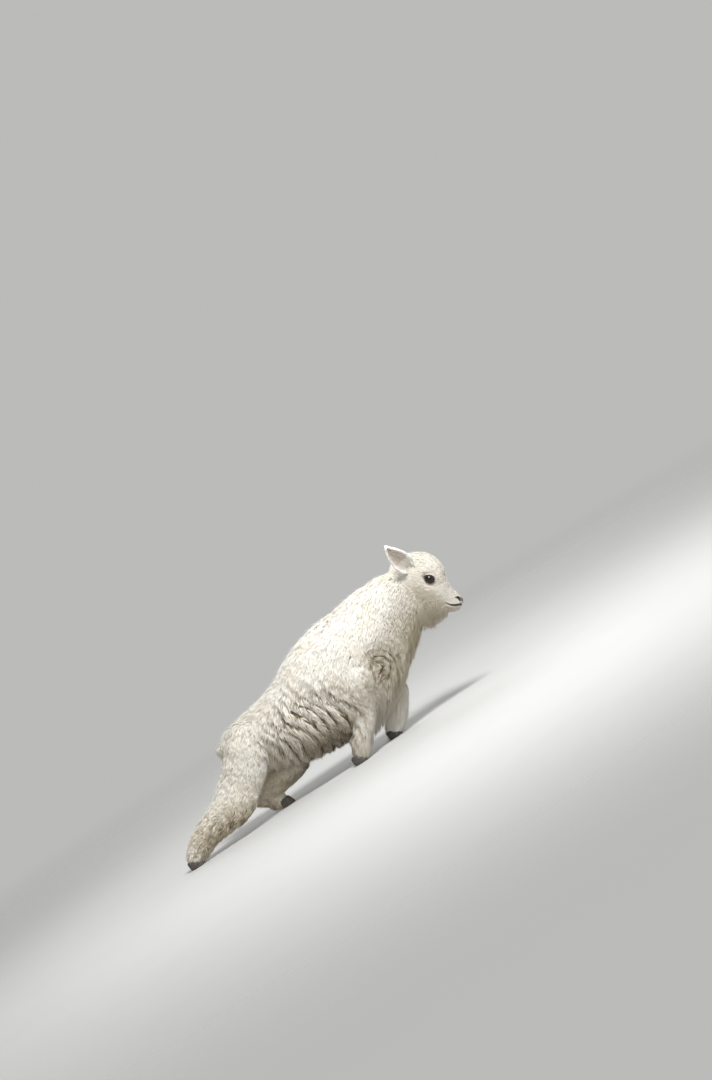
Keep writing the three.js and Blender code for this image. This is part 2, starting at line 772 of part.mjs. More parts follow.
builders.torso = (grow) =>
  joined([
    trunk.solid({
      to: NECK_FROM - CUT,
      lift: grow - BODY_COAT * CORE_SHARE,
      rings: 10,
      sides: 16,
      round: [true, false],
    }),
    ...trunkCoat.map((spec) => lockSolid(trunk, spec, grow)),
  ]);

// Builds the sub-parts in order: each gives way to those before it, by the gap
const overlaps = (a, b) => {
  const [p, q] = [a.boundingBox(), b.boundingBox()];
  return [0, 1, 2].every((i) => p.min[i] < q.max[i] && q.min[i] < p.max[i]);
};
const kid = new THREE.Group();
kid.name = "mountain_goat_kid";
const made = [];
for (const [name, build] of Object.entries(builders)) {
  let solid = build(0);
  for (const other of made.filter(({ grown }) => overlaps(solid, grown))) {
    solid = solid.subtract(other.grown);
    if (solid.intersect(other.solid).volume() > SHARED) solid = solid.subtract(other.solid);
  }
  made.push({ solid, grown: build(GAP) });
  kid.add(meshOf(name, largest(settled(solid))));
}

// A solid as a named mesh with its material
function meshOf(name, solid) {
  const kind = /toe/.test(name) ? "hoof" : /eye/.test(name) ? "eye" : "coat";
  const [r, g, b, roughness] = COLOURS[kind];
  const material = new THREE.MeshStandardMaterial({
    color: new THREE.Color(r, g, b),
    roughness,
    metalness: 0,
  });
  const mesh = new THREE.Mesh(geometryOf(solid), material);
  mesh.name = name;
  return mesh;
}

// The origin is on the ground, below the middle of the kid's bounding box
const box = new THREE.Box3().setFromObject(kid);
const middle = box.getCenter(vec(0, 0, 0));
kid.position.set(-middle.x, -middle.y, -box.min.z);

export default kid;
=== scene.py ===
"""A mountain goat kid, about four weeks old and life size, in its woolly first coat.

Body measures are millimetres in the floor frame: +X is forward, +Y the kid's left, +Z up, and the
hooves stand at Z 0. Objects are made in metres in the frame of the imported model.
"""

import math

import bmesh
import bpy
import numpy as np
from mathutils import Matrix, Vector
from mathutils.bvhtree import BVHTree
from mathutils.kdtree import KDTree


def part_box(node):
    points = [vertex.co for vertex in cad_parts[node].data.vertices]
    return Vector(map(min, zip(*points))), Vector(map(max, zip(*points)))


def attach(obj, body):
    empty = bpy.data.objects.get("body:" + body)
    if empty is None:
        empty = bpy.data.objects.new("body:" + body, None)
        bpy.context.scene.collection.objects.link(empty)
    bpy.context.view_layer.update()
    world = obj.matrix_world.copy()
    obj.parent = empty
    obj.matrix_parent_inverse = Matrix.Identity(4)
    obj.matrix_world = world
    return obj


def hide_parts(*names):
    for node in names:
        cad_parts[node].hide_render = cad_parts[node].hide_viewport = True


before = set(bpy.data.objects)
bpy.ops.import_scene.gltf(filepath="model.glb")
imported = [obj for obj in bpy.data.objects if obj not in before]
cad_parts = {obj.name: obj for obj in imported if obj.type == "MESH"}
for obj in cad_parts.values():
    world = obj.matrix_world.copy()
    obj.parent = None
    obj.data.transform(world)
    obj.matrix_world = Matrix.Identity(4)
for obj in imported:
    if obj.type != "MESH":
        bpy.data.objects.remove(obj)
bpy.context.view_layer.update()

MM = 0.001
SEED = 4
RIGHT, LEFT = -1, 1

# Stations of the coat's outline: x, y, z, half height, half width. The trunk's go from rump to poll.
TRUNK = [
    (-262, 0, 190, 20, 22), (-249, 0, 185, 40, 44), (-215, 0, 175, 56, 60), (-165, 0, 173, 66, 69),
    (-115, 0, 168, 84, 74), (-60, 0, 166, 104, 78), (-5, 0, 174, 120, 80), (50, 0, 188, 126, 78),
    (102, 0, 205, 122, 73), (148, 0, 224, 109, 66), (188, 0, 243, 95, 58), (230, 0, 258, 82, 51),
    (266, 0, 271, 70, 46), (296, 0, 282, 52, 38),
]
TAIL = [(-238, 0, 206, 12, 14), (-249, 0, 190, 13, 16), (-260, 0, 168, 13, 14), (-269, 0, 145, 9, 9)]
# The limbs' stations, after how far the skin lies under the first and the last
LIMBS = {
    "fore_right_upper": ((8, 5), [
        (96, -46, 200, 36, 22), (86, -52, 172, 42, 28), (71, -51, 142, 37, 27),
        (63, -48, 116, 31, 24), (57, -46, 94, 26, 22),
    ]),
    "fore_right_lower": ((4.5, 3), [
        (57, -46, 90, 25, 21.5), (42, -45, 71, 23.5, 19.5), (27, -44, 56, 23, 18.5),
        (12, -43, 39, 24, 19), (0, -42, 23, 18, 17),
    ]),
    "fore_left_upper": ((8, 5), [
        (86, 44, 178, 38, 22), (98, 50, 146, 36, 27), (124, 49, 115, 27, 24), (151, 47, 97, 22, 21),
    ]),
    "fore_left_lower": ((4.5, 3), [
        (154, 47, 93, 22.5, 20.5), (142, 46, 76, 22.5, 19), (126, 45, 60, 22, 18.5),
        (107, 44, 40, 23, 19), (94, 43, 23, 18, 17),
    ]),
    "hind_right_thigh": ((9, 8), [
        (-196, -38, 198, 42, 30), (-213, -44, 168, 50, 35), (-238, -46, 136, 52, 34),
        (-270, -46, 108, 48, 30),
    ]),
    "hind_right_shank": ((8, 6), [
        (-272, -46, 106, 50, 30), (-303, -46, 80, 49, 29), (-340, -46, 66, 41, 26), (-380, -46, 56, 33, 23.5),
    ]),
    "hind_right_cannon": ((6, 3), [
        (-386, -46, 54, 31, 22.5), (-410, -46, 44, 28, 21), (-432, -46, 33, 23, 19), (-448, -46, 23, 17, 17),
    ]),
    "hind_left_thigh": ((9, 8), [
        (-196, 38, 194, 42, 30), (-184, 45, 158, 50, 35), (-158, 47, 120, 49, 34), (-132, 48, 88, 42, 30),
    ]),
    "hind_left_shank": ((7, 5), [
        (-138, 48, 80, 37, 28), (-180, 48, 67, 33, 26), (-224, 47, 59, 27, 23), (-258, 47, 56, 22, 20.5),
    ]),
    "hind_left_cannon": ((4.5, 3), [
        (-260, 47, 53, 21, 20), (-244, 46, 42, 20, 18.5), (-228, 46, 30, 18.5, 17.5), (-214, 45, 21, 15, 16),
    ]),
}

# The head's own axis runs from the back of the skull to the nose and points down
HEAD_AT = (299, 0, 303)
HEAD_PITCH = 55
HEAD = [
    (-8, 0, 16, 40, 30), (8, 0, 13, 54, 38), (26, 0, 12, 60, 42), (44, 0, 11, 61, 42.5),
    (62, 0, 9, 57, 40.5), (76, 0, 4, 52, 36), (84, 0, -1, 45, 32), (96, 0, -6, 37, 27.5),
    (112, 0, -8.5, 29.5, 23), (127, 0, -9.5, 24.5, 19.5), (136, 0, -9.5, 21.5, 17),
    (142, 0, -9, 17.5, 13.5),
]
EYE = {"along": 54, "up": 19, "out": 31, "radius": 13}
LIDS = {"wide": 57, "high": 43}  # half of the opening, in degrees about the eye's middle
NOSTRIL = {"along": 134, "up": 4, "out": 9}
MOUTH_CORNER = (110, -17.3)  # along, up
MOUTH_FRONT = (146, -5.5)
MOUTH_SAG = 4
EAR = {
    "base": (-3, 31, 25), "axis": (-63, 40, 22), "facing": (0.4, 0.9, -0.12), "length": 90,
    "half_widths": (11, 17, 20, 20.5, 18, 13.5, 8, 2.5), "cup": 11, "thick": 2,
}
EAR_SUNK = 0.08  # share of an ear that is inside the head
HOOVES = {
    "fore_right": ((-8, -42), -4), "fore_left": ((88, 43), 4),
    "hind_right": ((-450, -46), -5), "hind_left": ((-205, 45), 6),
}
HOOF = {"length": 33, "width": 16, "height": 20, "cleft": 3, "lean": 5}

FOLD_SPACING = 22  # between the creases of the flank
# The whorl of hair at the front of each shoulder
WHORL = {"at": (140, -60, 170), "size": (42, 50, 38), "spacing": 15, "strength": 0.95}
PARTED = 0.9  # how far tips are combed away from a crease, as a share
CREASE_SHARP = 1.45  # higher is narrower
FOLD_PRESSED = 9  # how far a crease goes into the skin
SKIN_VOXEL = 3.0
SINK = 1.4  # how deep a long tuft's root sits in the skin

# Soft places: their middle, their reach and their strength
PLACES = {
    "flank_fleece": ((-58, -75, 130), (82, 70, 68), 1.8),
    "long_flank": ((-38, -75, 112), (75, 70, 55), 1.3),
    # Dirt and painted shade low on the flank
    "lower_flank": ((-62, -75, 90), (86, 60, 38), 1),
    # Painted shade behind the elbow
    "elbow": ((0, -58, 82), (36, 40, 36), 2.6),
    # Dirt and painted shade under the belly
    "belly": ((-70, -30, 68), (105, 80, 42), 1.7),
    "inside_fore_legs": ((120, 0, 105), (40, 38, 50), 0.6),
    # Brown streaks and painted shade low on the hind shank
    "soiled_and_shaded_shank": ((-335, -46, 38), (110, 60, 40), 1),
    "ochre_shank": ((-350, -46, 45), (120, 60, 50), 0.6),
    "unruly_shank": ((-345, -46, 50), (110, 60, 60), 1),
    # Painted shade on the far hind leg, under the body
    "shaded_far_hind_leg": ((-190, 47, 75), (90, 40, 50), 0.6),
    "whorl": (WHORL["at"], WHORL["size"], 1),
    "chest": ((188, 0, 158), (46, 75, 52), 0.75),
    "throat": ((268, 0, 185), (52, 60, 48), 1.2),
    "long_throat": ((262, 0, 190), (45, 60, 45), 1),
    "nape": ((205, 0, 275), (55, 60, 45), 1),
    # In the head's frame: along, out and up
    "under_jaw": ((84, 0, -52), (30, 40, 22), 0.9),
    "chin": ((120, 0, -34), (17, 22, 10), 1),
    "cheek": ((42, -36, -30), (34, 22, 22), 1),
    "brow": ((50, -30, 38), (12, 30, 5), 0.25),
    "under_eye": ((66, -35, 4), (7, 20, 5), 0.35),
    "nose_bridge": ((142, 0, 4), (8, 12, 6.5), 1.56),
}
# On each side of the head: along, up, the reach along and up, the height, and how far out it starts
HEAD_BUMPS = {
    "brow": (47, 38, 15, 7, 2.2, 0),
    "before_the_eye": (74, 14, 9, 9, -2.4, 8),
    "cheekbone": (58, -4, 17, 7, 1.6, 0),
}
LIPS = ((3.4, 2.6), (-3.8, 2.8))  # each lip's middle over the mouth's line, and its reach
LID_THICK = 1.7
SUNK_UNDER_LIDS = 3.0

rng = np.random.default_rng(SEED)


# Small helpers


def unit(v):
    return v / np.maximum(np.linalg.norm(v, axis=-1, keepdims=True), 1e-9)


def round_angles(count):
    return np.linspace(0, 2 * np.pi, count, endpoint=False)


def smooth_step(x, low, high):
    s = np.clip((x - low) / (high - low), 0, 1)
    return s * s * (3 - 2 * s)


def tangent_to(v, normal):
    """v without its part along the normal, as a unit vector."""
    return unit(v - np.sum(v * normal, axis=-1, keepdims=True) * normal)


def spline(values, t):
    """A smooth curve through values, and its slope, at stations t."""
    padded = np.vstack([2 * values[0] - values[1], values, 2 * values[-1] - values[-2]])
    i = np.clip(np.floor(t).astype(int), 0, len(values) - 2)
    f = (t - i)[..., None]
    before, start, end, after = (padded[i + k] for k in range(4))
    leave, arrive = (end - before) / 2, (after - start) / 2
    cubic = 2 * start - 2 * end + leave + arrive
    square = -3 * start + 3 * end - 2 * leave - arrive
    return start + leave * f + square * f**2 + cubic * f**3, leave + 2 * square * f + 3 * cubic * f**2


class Waves:
    """Smooth noise from -1 to 1 as a sum of waves, so many millimetres long."""

    def __init__(self, length, seed, count=7):
        source = np.random.default_rng(seed)
        turned = unit(source.normal(size=(count, 3)))
        self.vectors = turned * 2 * np.pi / (length * source.uniform(0.7, 1.6, (count, 1)))
        self.phases = source.uniform(0, 2 * np.pi, count)

    def __call__(self, points):
        waves = np.sin(points @ self.vectors.T + self.phases)
        return waves.mean(axis=1) * math.sqrt(len(self.phases)) * 0.7


# Body forms


def round_section(t, a):
    return np.cos(a), np.sin(a)


def head_section(t, a):
    """A section that is widest above its middle, with a narrow brow, bridge and jaw."""
    up, out = np.cos(a), np.sin(a)
    narrow = np.where(up > 0, 0.16, 0.3) * up**2
    return up, out * (1 - narrow)


class Form:
    """A swept form of the coat's outline, at t, a station's number, and a, the angle from its upper side."""

    def __init__(
        self, stations, under, origin=(0, 0, 0), pitch=0, section=round_section, upright=False, blunt=1.0
    ):
        self.stations = np.array(stations, float)
        self.blunt = blunt  # how far the last end reaches, as a share of its size
        self.under = under  # how far the skin lies below the outline, at the first and last station
        self.origin = np.array(origin, float)
        cos, sin = math.cos(math.radians(pitch)), math.sin(math.radians(pitch))
        self.turn = np.array([(cos, 0, -sin), (0, 1, 0), (sin, 0, cos)])  # rows are the form's axes
        self.section = section
        self.upright = upright
        self.last = len(stations) - 1

    def axes(self, t):
        middle, slope = spline(self.stations[:, :3], t)
        along = np.broadcast_to((1.0, 0.0, 0.0), slope.shape) if self.upright else unit(slope)
        up = unit(np.cross(along, (0.0, 1.0, 0.0)))
        return middle, along, up, np.cross(up, along)

    def sizes(self, t):
        return spline(self.stations[:, 3:], t)[0]

    def depth_of_skin(self, t):
        return self.under[0] + (self.under[1] - self.under[0]) * t / self.last

    def ring(self, t, sides, scale=1.0, shift=0.0):
        """A ring of the skin at t, smaller and moved along by the given amounts."""
        a = round_angles(sides)
        t = np.full(sides, float(t))
        middle, along, up, side = self.axes(t)
        size = np.maximum(self.sizes(t) - self.depth_of_skin(t)[:, None], 1.5) * scale
        high, wide = self.section(t, a)
        local = middle + along * shift + up * (high * size[:, 0])[:, None]
        local = local + side * (wide * size[:, 1])[:, None]
        return local @ self.turn + self.origin

    def skin_rings(self, count=30, sides=36):
        """Rings of the skin from end to end, with rounded ends."""
        ends = []
        for t, sign, share in ((0, -1, 1.0), (self.last, 1, self.blunt)):
            size = self.sizes(np.array([float(t)]))[0] - self.depth_of_skin(float(t))
            reach = float(min(size)) * share
            turns = (0.4, 0.8, 1.2, 1.5)
            ends.append([self.ring(t, sides, math.cos(b), sign * math.sin(b) * reach) for b in turns])
        body = [self.ring(t, sides) for t in np.linspace(0, self.last, count)]
        return ends[0][::-1] + body + ends[1]

    def nearest(self, points):
        """Each point's depth in the form (1 at the outline), its t and a, and the form's direction there."""
        local = (points - self.origin) @ self.turn.T
        stops = np.linspace(0, self.last, self.last * 4 + 1)
        middles, alongs, ups, sides = self.axes(stops)
        sizes = self.sizes(stops)
        spreads = sizes.min(axis=1)
        slopes = np.linalg.norm(spline(self.stations[:, :3], stops)[1], axis=1)
        best = np.full(len(points), np.inf)
        t, a = np.zeros(len(points)), np.zeros(len(points))
        direction = np.zeros_like(points)
        for k, stop in enumerate(stops):
            rel = local - middles[k]
            up, side, along = rel @ ups[k], rel @ sides[k], rel @ alongs[k]
            depth = np.hypot(np.hypot(up / sizes[k, 0], side / sizes[k, 1]), along / spreads[k])
            near = depth < best
            best[near] = depth[near]
            t[near] = stop + np.clip(along[near] / slopes[k], -0.125, 0.125)
            a[near] = np.arctan2(side[near], up[near])
            direction[near] = alongs[k] @ self.turn
        return best, t, a, direction


FORMS = {
    "trunk": Form(TRUNK, (10, 7)),
    "tail": Form(TAIL, (5, 4)),
    "head": Form(HEAD, (3, 1.6), HEAD_AT, HEAD_PITCH, head_section, upright=True, blunt=0.45),
}
FORMS |= {name: Form(stations, under) for name, (under, stations) in LIMBS.items()}
HEAD_FORM = FORMS["head"]


def to_head(points):
    """Floor frame to along, out and up in the head's frame."""
    return (points - HEAD_FORM.origin) @ HEAD_FORM.turn.T


def from_head(points):
    return np.asarray(points, float) @ HEAD_FORM.turn + HEAD_FORM.origin


def eye_middle(side):
    """An eye's middle in the head's frame, or the point between both for side 0."""
    return np.array((EYE["along"], side * EYE["out"], EYE["up"]))


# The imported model's origin differs from the floor frame's by a shift, which the eye shows
eye_low, eye_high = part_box("eye_right")
SHIFT = np.array((eye_low + eye_high) / 2) / MM - from_head(eye_middle(RIGHT))


# Meshes


def lofted(rings, closed=False):
    """Points and faces of a closed surface through rings of equally many points."""
    rings = [np.asarray(r, float) for r in rings]
    sides, count = len(rings[0]), len(rings)
    points = np.vstack(rings + ([] if closed else [rings[0].mean(0)[None], rings[-1].mean(0)[None]]))
    faces = []
    for i in range(count if closed else count - 1):
        low, high = i * sides, ((i + 1) % count) * sides
        faces += [(low + j, low + (j + 1) % sides, high + (j + 1) % sides, high + j) for j in range(sides)]
    if not closed:
        first, last, top = count * sides, count * sides + 1, (count - 1) * sides
        faces += [(first, (j + 1) % sides, j) for j in range(sides)]
        faces += [(last, top + j, top + (j + 1) % sides) for j in range(sides)]
    return points, faces


def merged(parts):
    """Several points-and-faces pairs as one."""
    points, faces, start = [], [], 0
    for part_points, part_faces in parts:
        points.append(part_points)
        faces += [tuple(i + start for i in face) for face in part_faces]
        start += len(part_points)
    return np.vstack(points), faces


def mesh_of(name, points, faces):
    """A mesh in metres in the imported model's frame, from points in the floor frame, its faces outward."""
    mesh = bpy.data.meshes.new(name)
    mesh.from_pydata(((points + SHIFT) * MM).tolist(), [], faces)
    work = bmesh.new()
    work.from_mesh(mesh)
    bmesh.ops.recalc_face_normals(work, faces=work.faces)
    work.to_mesh(mesh)
    work.free()
    return mesh


def linked(name, data):
    """A new object of the scene."""
    obj = bpy.data.objects.new(name, data)
    bpy.context.scene.collection.objects.link(obj)
    return obj


def piece(name, mesh, material, nodes=()):
    """An object that rides on the body, with its material and what it stands for."""
    mesh.materials.clear()
    mesh.materials.append(material)
    mesh.polygons.foreach_set("use_smooth", np.full(len(mesh.polygons), True))
    obj = linked(name, mesh)
    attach(obj, "root")
    if nodes:
        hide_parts(*nodes)


def remeshed(mesh):
    """The mesh as one surface, smoothed."""
    obj = linked("work", mesh)
    remesh = obj.modifiers.new("remesh", "REMESH")
    remesh.mode, remesh.voxel_size = "VOXEL", SKIN_VOXEL * MM
    smooth = obj.modifiers.new("smooth", "SMOOTH")
    smooth.factor, smooth.iterations = 0.5, 9
    made = bpy.data.meshes.new_from_object(obj.evaluated_get(bpy.context.evaluated_depsgraph_get()))
    bpy.data.objects.remove(obj)
    bpy.data.meshes.remove(mesh)
    return made


def points_of(mesh):
    """A mesh's points in the floor frame."""
    co = np.empty(len(mesh.vertices) * 3)
    mesh.vertices.foreach_get("co", co)
    return co.reshape(-1, 3) / MM - SHIFT


def normals_of(mesh):
    values = np.empty(len(mesh.vertices) * 3)
    mesh.vertex_normals.foreach_get("vector", values)
    return values.reshape(-1, 3)


def set_points(mesh, points):
    mesh.vertices.foreach_set("co", ((points + SHIFT) * MM).ravel())
    mesh.update()


# Skin


def mouth_height(along):
    """Height of the mouth's line over the head's axis."""
    share = np.clip((along - MOUTH_CORNER[0]) / (MOUTH_FRONT[0] - MOUTH_CORNER[0]), 0, 1)
    line = MOUTH_CORNER[1] + (MOUTH_FRONT[1] - MOUTH_CORNER[1]) * share
    return line - MOUTH_SAG * np.sin(np.pi * share)


def eye_opening(head_points):
    """Distance from the eye's middle in the lids' opening: 1 at its edge."""
    rel = head_points - eye_middle(0)
    wide = EYE["radius"] * math.sin(math.radians(LIDS["wide"]))
    high = EYE["radius"] * math.sin(math.radians(LIDS["high"]))
    return np.hypot(rel[:, 0] / wide, rel[:, 2] / high)


def nostril_place(head_points):
    """Distance from the nostril's slit: 1 at its edge. The slit is a comma that rises at the back."""
    along, up = head_points[:, 0] - NOSTRIL["along"], head_points[:, 2] - NOSTRIL["up"]
    out = np.abs(head_points[:, 1]) - NOSTRIL["out"]
    tilt = math.radians(20)
    length = along * math.cos(tilt) - up * math.sin(tilt)
    height = along * math.sin(tilt) + up * math.cos(tilt) + 0.06 * length**2
    return np.sqrt((length / 5.5) ** 2 + (height / 1.9) ** 2 + (out / 9) ** 2)


def mouth_distance(head_points):
    """Distance in millimetres from the mouth's line, up or down."""
    along, up = head_points[:, 0], head_points[:, 2]
    behind = np.maximum(MOUTH_CORNER[0] - along, 0)
    return np.hypot(up - mouth_height(along), behind * 1.5)


def face_relief(head, side):
    """How far each point of the face is pushed out of the head."""
    along, up = head[:, 0], head[:, 2]
    move = np.zeros(len(head))
    for bump_along, bump_up, long, high, height, out in HEAD_BUMPS.values():
        bump = np.exp(-(((along - bump_along) / long) ** 2 + ((up - bump_up) / high) ** 2))
        move += height * bump * (side >= out)
    line = up - mouth_height(along)
    forward = smooth_step(along, MOUTH_CORNER[0] - 3, MOUTH_CORNER[0] + 8)
    for middle, reach in LIPS:
        move += 1.2 * forward * np.exp(-(((line - middle) / reach) ** 2))
    move -= 2.8 * np.exp(-(mouth_distance(head) ** 2))
    # The tip between the nostrils, and the groove below it
    tip = smooth_step(along, 134, 143)
    move += 1.3 * tip * np.exp(-((side / 7) ** 2 + ((up - 5) / 4.5) ** 2))
    move -= 1.3 * tip * np.exp(-((side / 0.9) ** 2)) * smooth_step(4 - up, 0, 2) * (line > 0)
    # Nostrils with a raised wing
    place = nostril_place(head)
    move += 1.2 * np.exp(-(((place - 1.9) / 0.6) ** 2))
    return move - 5.5 * smooth_step(1.25 - place, 0, 0.6)


def shape_head(mesh):
    """Presses the sockets, brows, lids, nostrils and lips into the head's skin."""
    points, normals = points_of(mesh), normals_of(mesh)
    head = to_head(points)
    near = np.flatnonzero((head[:, 0] > 10) & (HEAD_FORM.nearest(points)[0] < 1.25))
    side = np.abs(head[near, 1])
    h = to_head(points[near] + normals[near] * face_relief(head[near], side)[:, None])
    # The skin lies on the eyeball round the lids' opening, and dips under it inside
    opening = eye_opening(h)
    rel = h - eye_middle(0)
    ball = np.sqrt(np.maximum(EYE["radius"] ** 2 - rel[:, 0] ** 2 - rel[:, 2] ** 2, 0)) + EYE["out"]
    over = np.sign(h[:, 1]) * np.where(opening < 1, ball - SUNK_UNDER_LIDS, ball + LID_THICK)
    hold = smooth_step(2.0 - opening, 0, 0.8) * (side > 18)
    h[:, 1] = h[:, 1] * (1 - hold) + over * hold
    points[near] = from_head(h)
    set_points(mesh, points)


def refine_head(mesh):
    """Halves the edges of the head's faces, twice where the eyes, nose and mouth are."""
    work = bmesh.new()
    work.from_mesh(mesh)
    for from_along, reach in ((20, 1.3), (34, 1.2)):
        work.verts.ensure_lookup_table()
        points = np.array([v.co for v in work.verts]) / MM - SHIFT
        head = to_head(points)
        inside = (head[:, 0] > from_along) & (HEAD_FORM.nearest(points)[0] < reach)
        if from_along > 30:
            inside &= (eye_opening(head) < 2) | (head[:, 0] > 104)
        edges = [e for e in work.edges if inside[e.verts[0].index] and inside[e.verts[1].index]]
        bmesh.ops.subdivide_edges(work, edges=edges, cuts=1, use_grid_fill=True, smooth=0.4)
    work.to_mesh(mesh)
    work.free()


def ear_axes(side):
    """An ear's foot, and its directions along, to the side it faces, and across."""
    base, axis, facing = (np.array(EAR[k], float) * (1, side, 1) for k in ("base", "axis", "facing"))
    along = unit(axis)
    front = unit(facing - np.dot(facing, along) * along)
    return base, along, front, np.cross(along, front)


def ear_rings(side):
    """Rings of an ear: a leaf whose edges curl towards the side it faces."""
    base, along, front, across = ear_axes(side)
    widths = np.array(EAR["half_widths"])[:, None]
    s = np.linspace(-1, 1, 25)
    rings = []
    for share in np.linspace(0, 1, 34):
        wide = float(spline(widths, np.array([share * (len(widths) - 1)]))[0][0, 0])
        curl = EAR["cup"] * (1 - 0.6 * share) * s**2 + EAR["cup"] * 0.5 * share**2
        half = EAR["thick"] / 2 * (1 - 0.5 * s**2) * (1 - 0.4 * share)
        middle = base + along * EAR["length"] * (share * 0.98 - EAR_SUNK)
        spread = middle + across * (s * wide)[:, None]
        back = spread + front * (curl - half)[:, None]
        inside = spread + front * (curl + half)[:, None]
        rings.append(from_head(np.vstack([back, inside[::-1]])))
    return rings


def make_skin():
    """The whole skin as one mesh. The ears' points come last; their number is returned too."""
    body = remeshed(mesh_of("skin", *merged([lofted(form.skin_rings()) for form in FORMS.values()])))
    points = points_of(body)
    set_points(body, points - normals_of(body) * (FOLD_PRESSED * fold_depth(points))[:, None])
    refine_head(body)
    shape_head(body)
    ears = mesh_of("ears", *merged([lofted(ear_rings(side)) for side in (RIGHT, LEFT)]))
    work = bmesh.new()
    work.from_mesh(body)
    work.from_mesh(ears)
    work.to_mesh(body)
    work.free()
    return body, len(ears.vertices)


# Markings and painted shade

WHITE = np.array((0.90, 0.885, 0.84))
CREAM = np.array((0.83, 0.78, 0.67))
BEIGE = np.array((0.665, 0.635, 0.565))
OCHRE = np.array((0.62, 0.52, 0.35))
BUFF = np.array((0.43, 0.355, 0.22))
SHADE = np.array((0.13, 0.09, 0.048))
GREY = np.array((0.52, 0.49, 0.45))
PINK = np.array((0.72, 0.50, 0.44))
EAR_INSIDE = np.array((0.60, 0.50, 0.42))
DARK = np.array((0.035, 0.03, 0.03))

# Across the creases of the flank, and up in the photograph, whose ground slopes
CREASED_ACROSS = np.array((0.97, 0.0, 0.243))
UP_SLOPE = np.array((0.537, 0.0, 0.843))

patches = Waves(60, 31)
streaks = Waves(16, 32)
folds = Waves(70, 33)


def spot(points, name, mirrored=True):
    """A named soft place, strongest in its middle, on the right side or on both."""
    middle, reach, strength = PLACES[name]
    placed = points * (1, 1, 1)
    if mirrored:
        placed[:, 1] = RIGHT * np.abs(placed[:, 1])
    return strength * np.exp(-(((placed - middle) / reach) ** 2).sum(axis=1))


def mixed(base, colour, share):
    share = np.clip(share, 0, 1)[:, None]
    return base * (1 - share) + colour * share


def flank_fleece(points):
    """1 where the fleece of the flank parts into upright locks, 0 elsewhere."""
    return np.clip(spot(points, "flank_fleece"), 0, 1)


def creases(points):
    """The flank's creases, and those round the whorl at the front of each shoulder.

    Each is a phase that is whole in the middle of a crease, a strength, the way across and a spacing.
    """
    warp = 11 * folds(points) + 3 * streaks(points)
    across = np.tile(CREASED_ACROSS, (len(points), 1))
    flank = (points @ CREASED_ACROSS + warp) / FOLD_SPACING
    away = (points - WHORL["at"]) * (1, 0, 1)
    distance = np.linalg.norm(away, axis=1) + 1e-6
    away = away / distance[:, None]
    whorl = (distance + 0.75 * warp) / WHORL["spacing"]
    strength = WHORL["strength"] * spot(points, "whorl") * smooth_step(away[:, 0], -0.8, 0.1)
    return (flank, flank_fleece(points), across, FOLD_SPACING), (whorl, strength, away, WHORL["spacing"])


def fold_depth(points):
    """How deep a crease of the fleece is, from 0 to 1."""
    valleys = [
        (0.5 + 0.5 * np.cos(2 * np.pi * phase)) ** CREASE_SHARP * strength
        for phase, strength, _, _ in creases(points)
    ]
    return np.maximum(*valleys)


def parting(points):
    """How far a tip is combed away from the nearest crease, towards the lock beside it."""
    moved = np.zeros(points.shape)
    for phase, strength, across, spacing in creases(points):
        near = phase - np.round(phase)
        away = np.sign(near) * (0.5 - np.abs(near)) * spacing
        moved += (PARTED * away * strength)[:, None] * across
    return moved


def combed(points, normals, lie):
    """The lie of the hair, turned along the creases where there are some."""
    outward_side = -np.sign(normals[:, 1:2])
    for _, strength, across, _ in creases(points):
        along = tangent_to(np.cross(across, normals) * outward_side, normals)
        lie = unit(lie * (1 - strength)[:, None] + along * strength[:, None])
    return lie


def soil_and_shade(points, normals):
    """How brown the coat's depth is, from 0 to 1, as dirt and painted shade together: most behind the elbow
    and on the belly.
    """
    below = smooth_step(-normals[:, 2], -0.3, 0.5)
    behind_elbow = smooth_step(24 - points[:, 0], 0, 50)
    fold, patchy = fold_depth(points), streaks(points)
    return np.maximum.reduce([
        # painted shade behind the elbow
        behind_elbow * spot(points, "elbow"),
        # dirt and painted shade low on the flank and in its creases
        (1.8 + 2.4 * fold) * behind_elbow * spot(points, "lower_flank"),
        # dirt and painted shade on the belly's underside
        below * spot(points, "belly"),
        spot(points, "inside_fore_legs"),
        # brown streaks and painted shade low on the hind shank
        (0.7 + 1.1 * patchy) * spot(points, "soiled_and_shaded_shank"),
        (0.25 + 0.9 * patchy) * spot(points, "whorl"),
        # dirt and painted shade in the creases
        3.2 * fold,
    ])


def markings_and_shade(points, normals):
    """The colour of the coat's tips at each point, with painted shade: creamier and more ochre on the
    surfaces that face down, and ochre on the far hind leg.
    """
    head = to_head(points)
    # Painted shade: the surfaces that face down turn creamier and ochre
    below = smooth_step(-normals @ UP_SLOPE, -0.15, 0.75)
    rump = smooth_step(-150 - points[:, 0], -60, 40) * smooth_step(points[:, 2], 110, 180)
    fore_legs = smooth_step(120 - points[:, 2], 0, 60) * (points[:, 0] > 30)
    throat = spot(points, "throat") + spot(head, "under_jaw")
    warm = np.maximum.reduce([throat, spot(points, "chest"), 0.3 * spot(points, "whorl")])
    colour = np.tile(WHITE, (len(points), 1))
    for tint, share in (
        (CREAM, 0.22 + 0.3 * patches(points) + 0.6 * below),
        (BEIGE, smooth_step(head[:, 0], -40, 20) + 0.6 * rump),
        (GREY, 0.4 * smooth_step(head[:, 0], 84, 112)),
        (OCHRE, 0.35 * below),
        (BUFF, 0.95 * warm * (0.8 + 0.5 * streaks(points))),
        (OCHRE, spot(points, "ochre_shank")),
        # painted shade on the far hind leg, under the body
        (OCHRE, spot(points, "shaded_far_hind_leg", mirrored=False)),
        (WHITE, 0.8 * fore_legs),
        (GREY, spot(head, "brow")),
        (PINK, spot(head, "under_eye")),
    ):
        colour = mixed(colour, tint, share)
    return colour


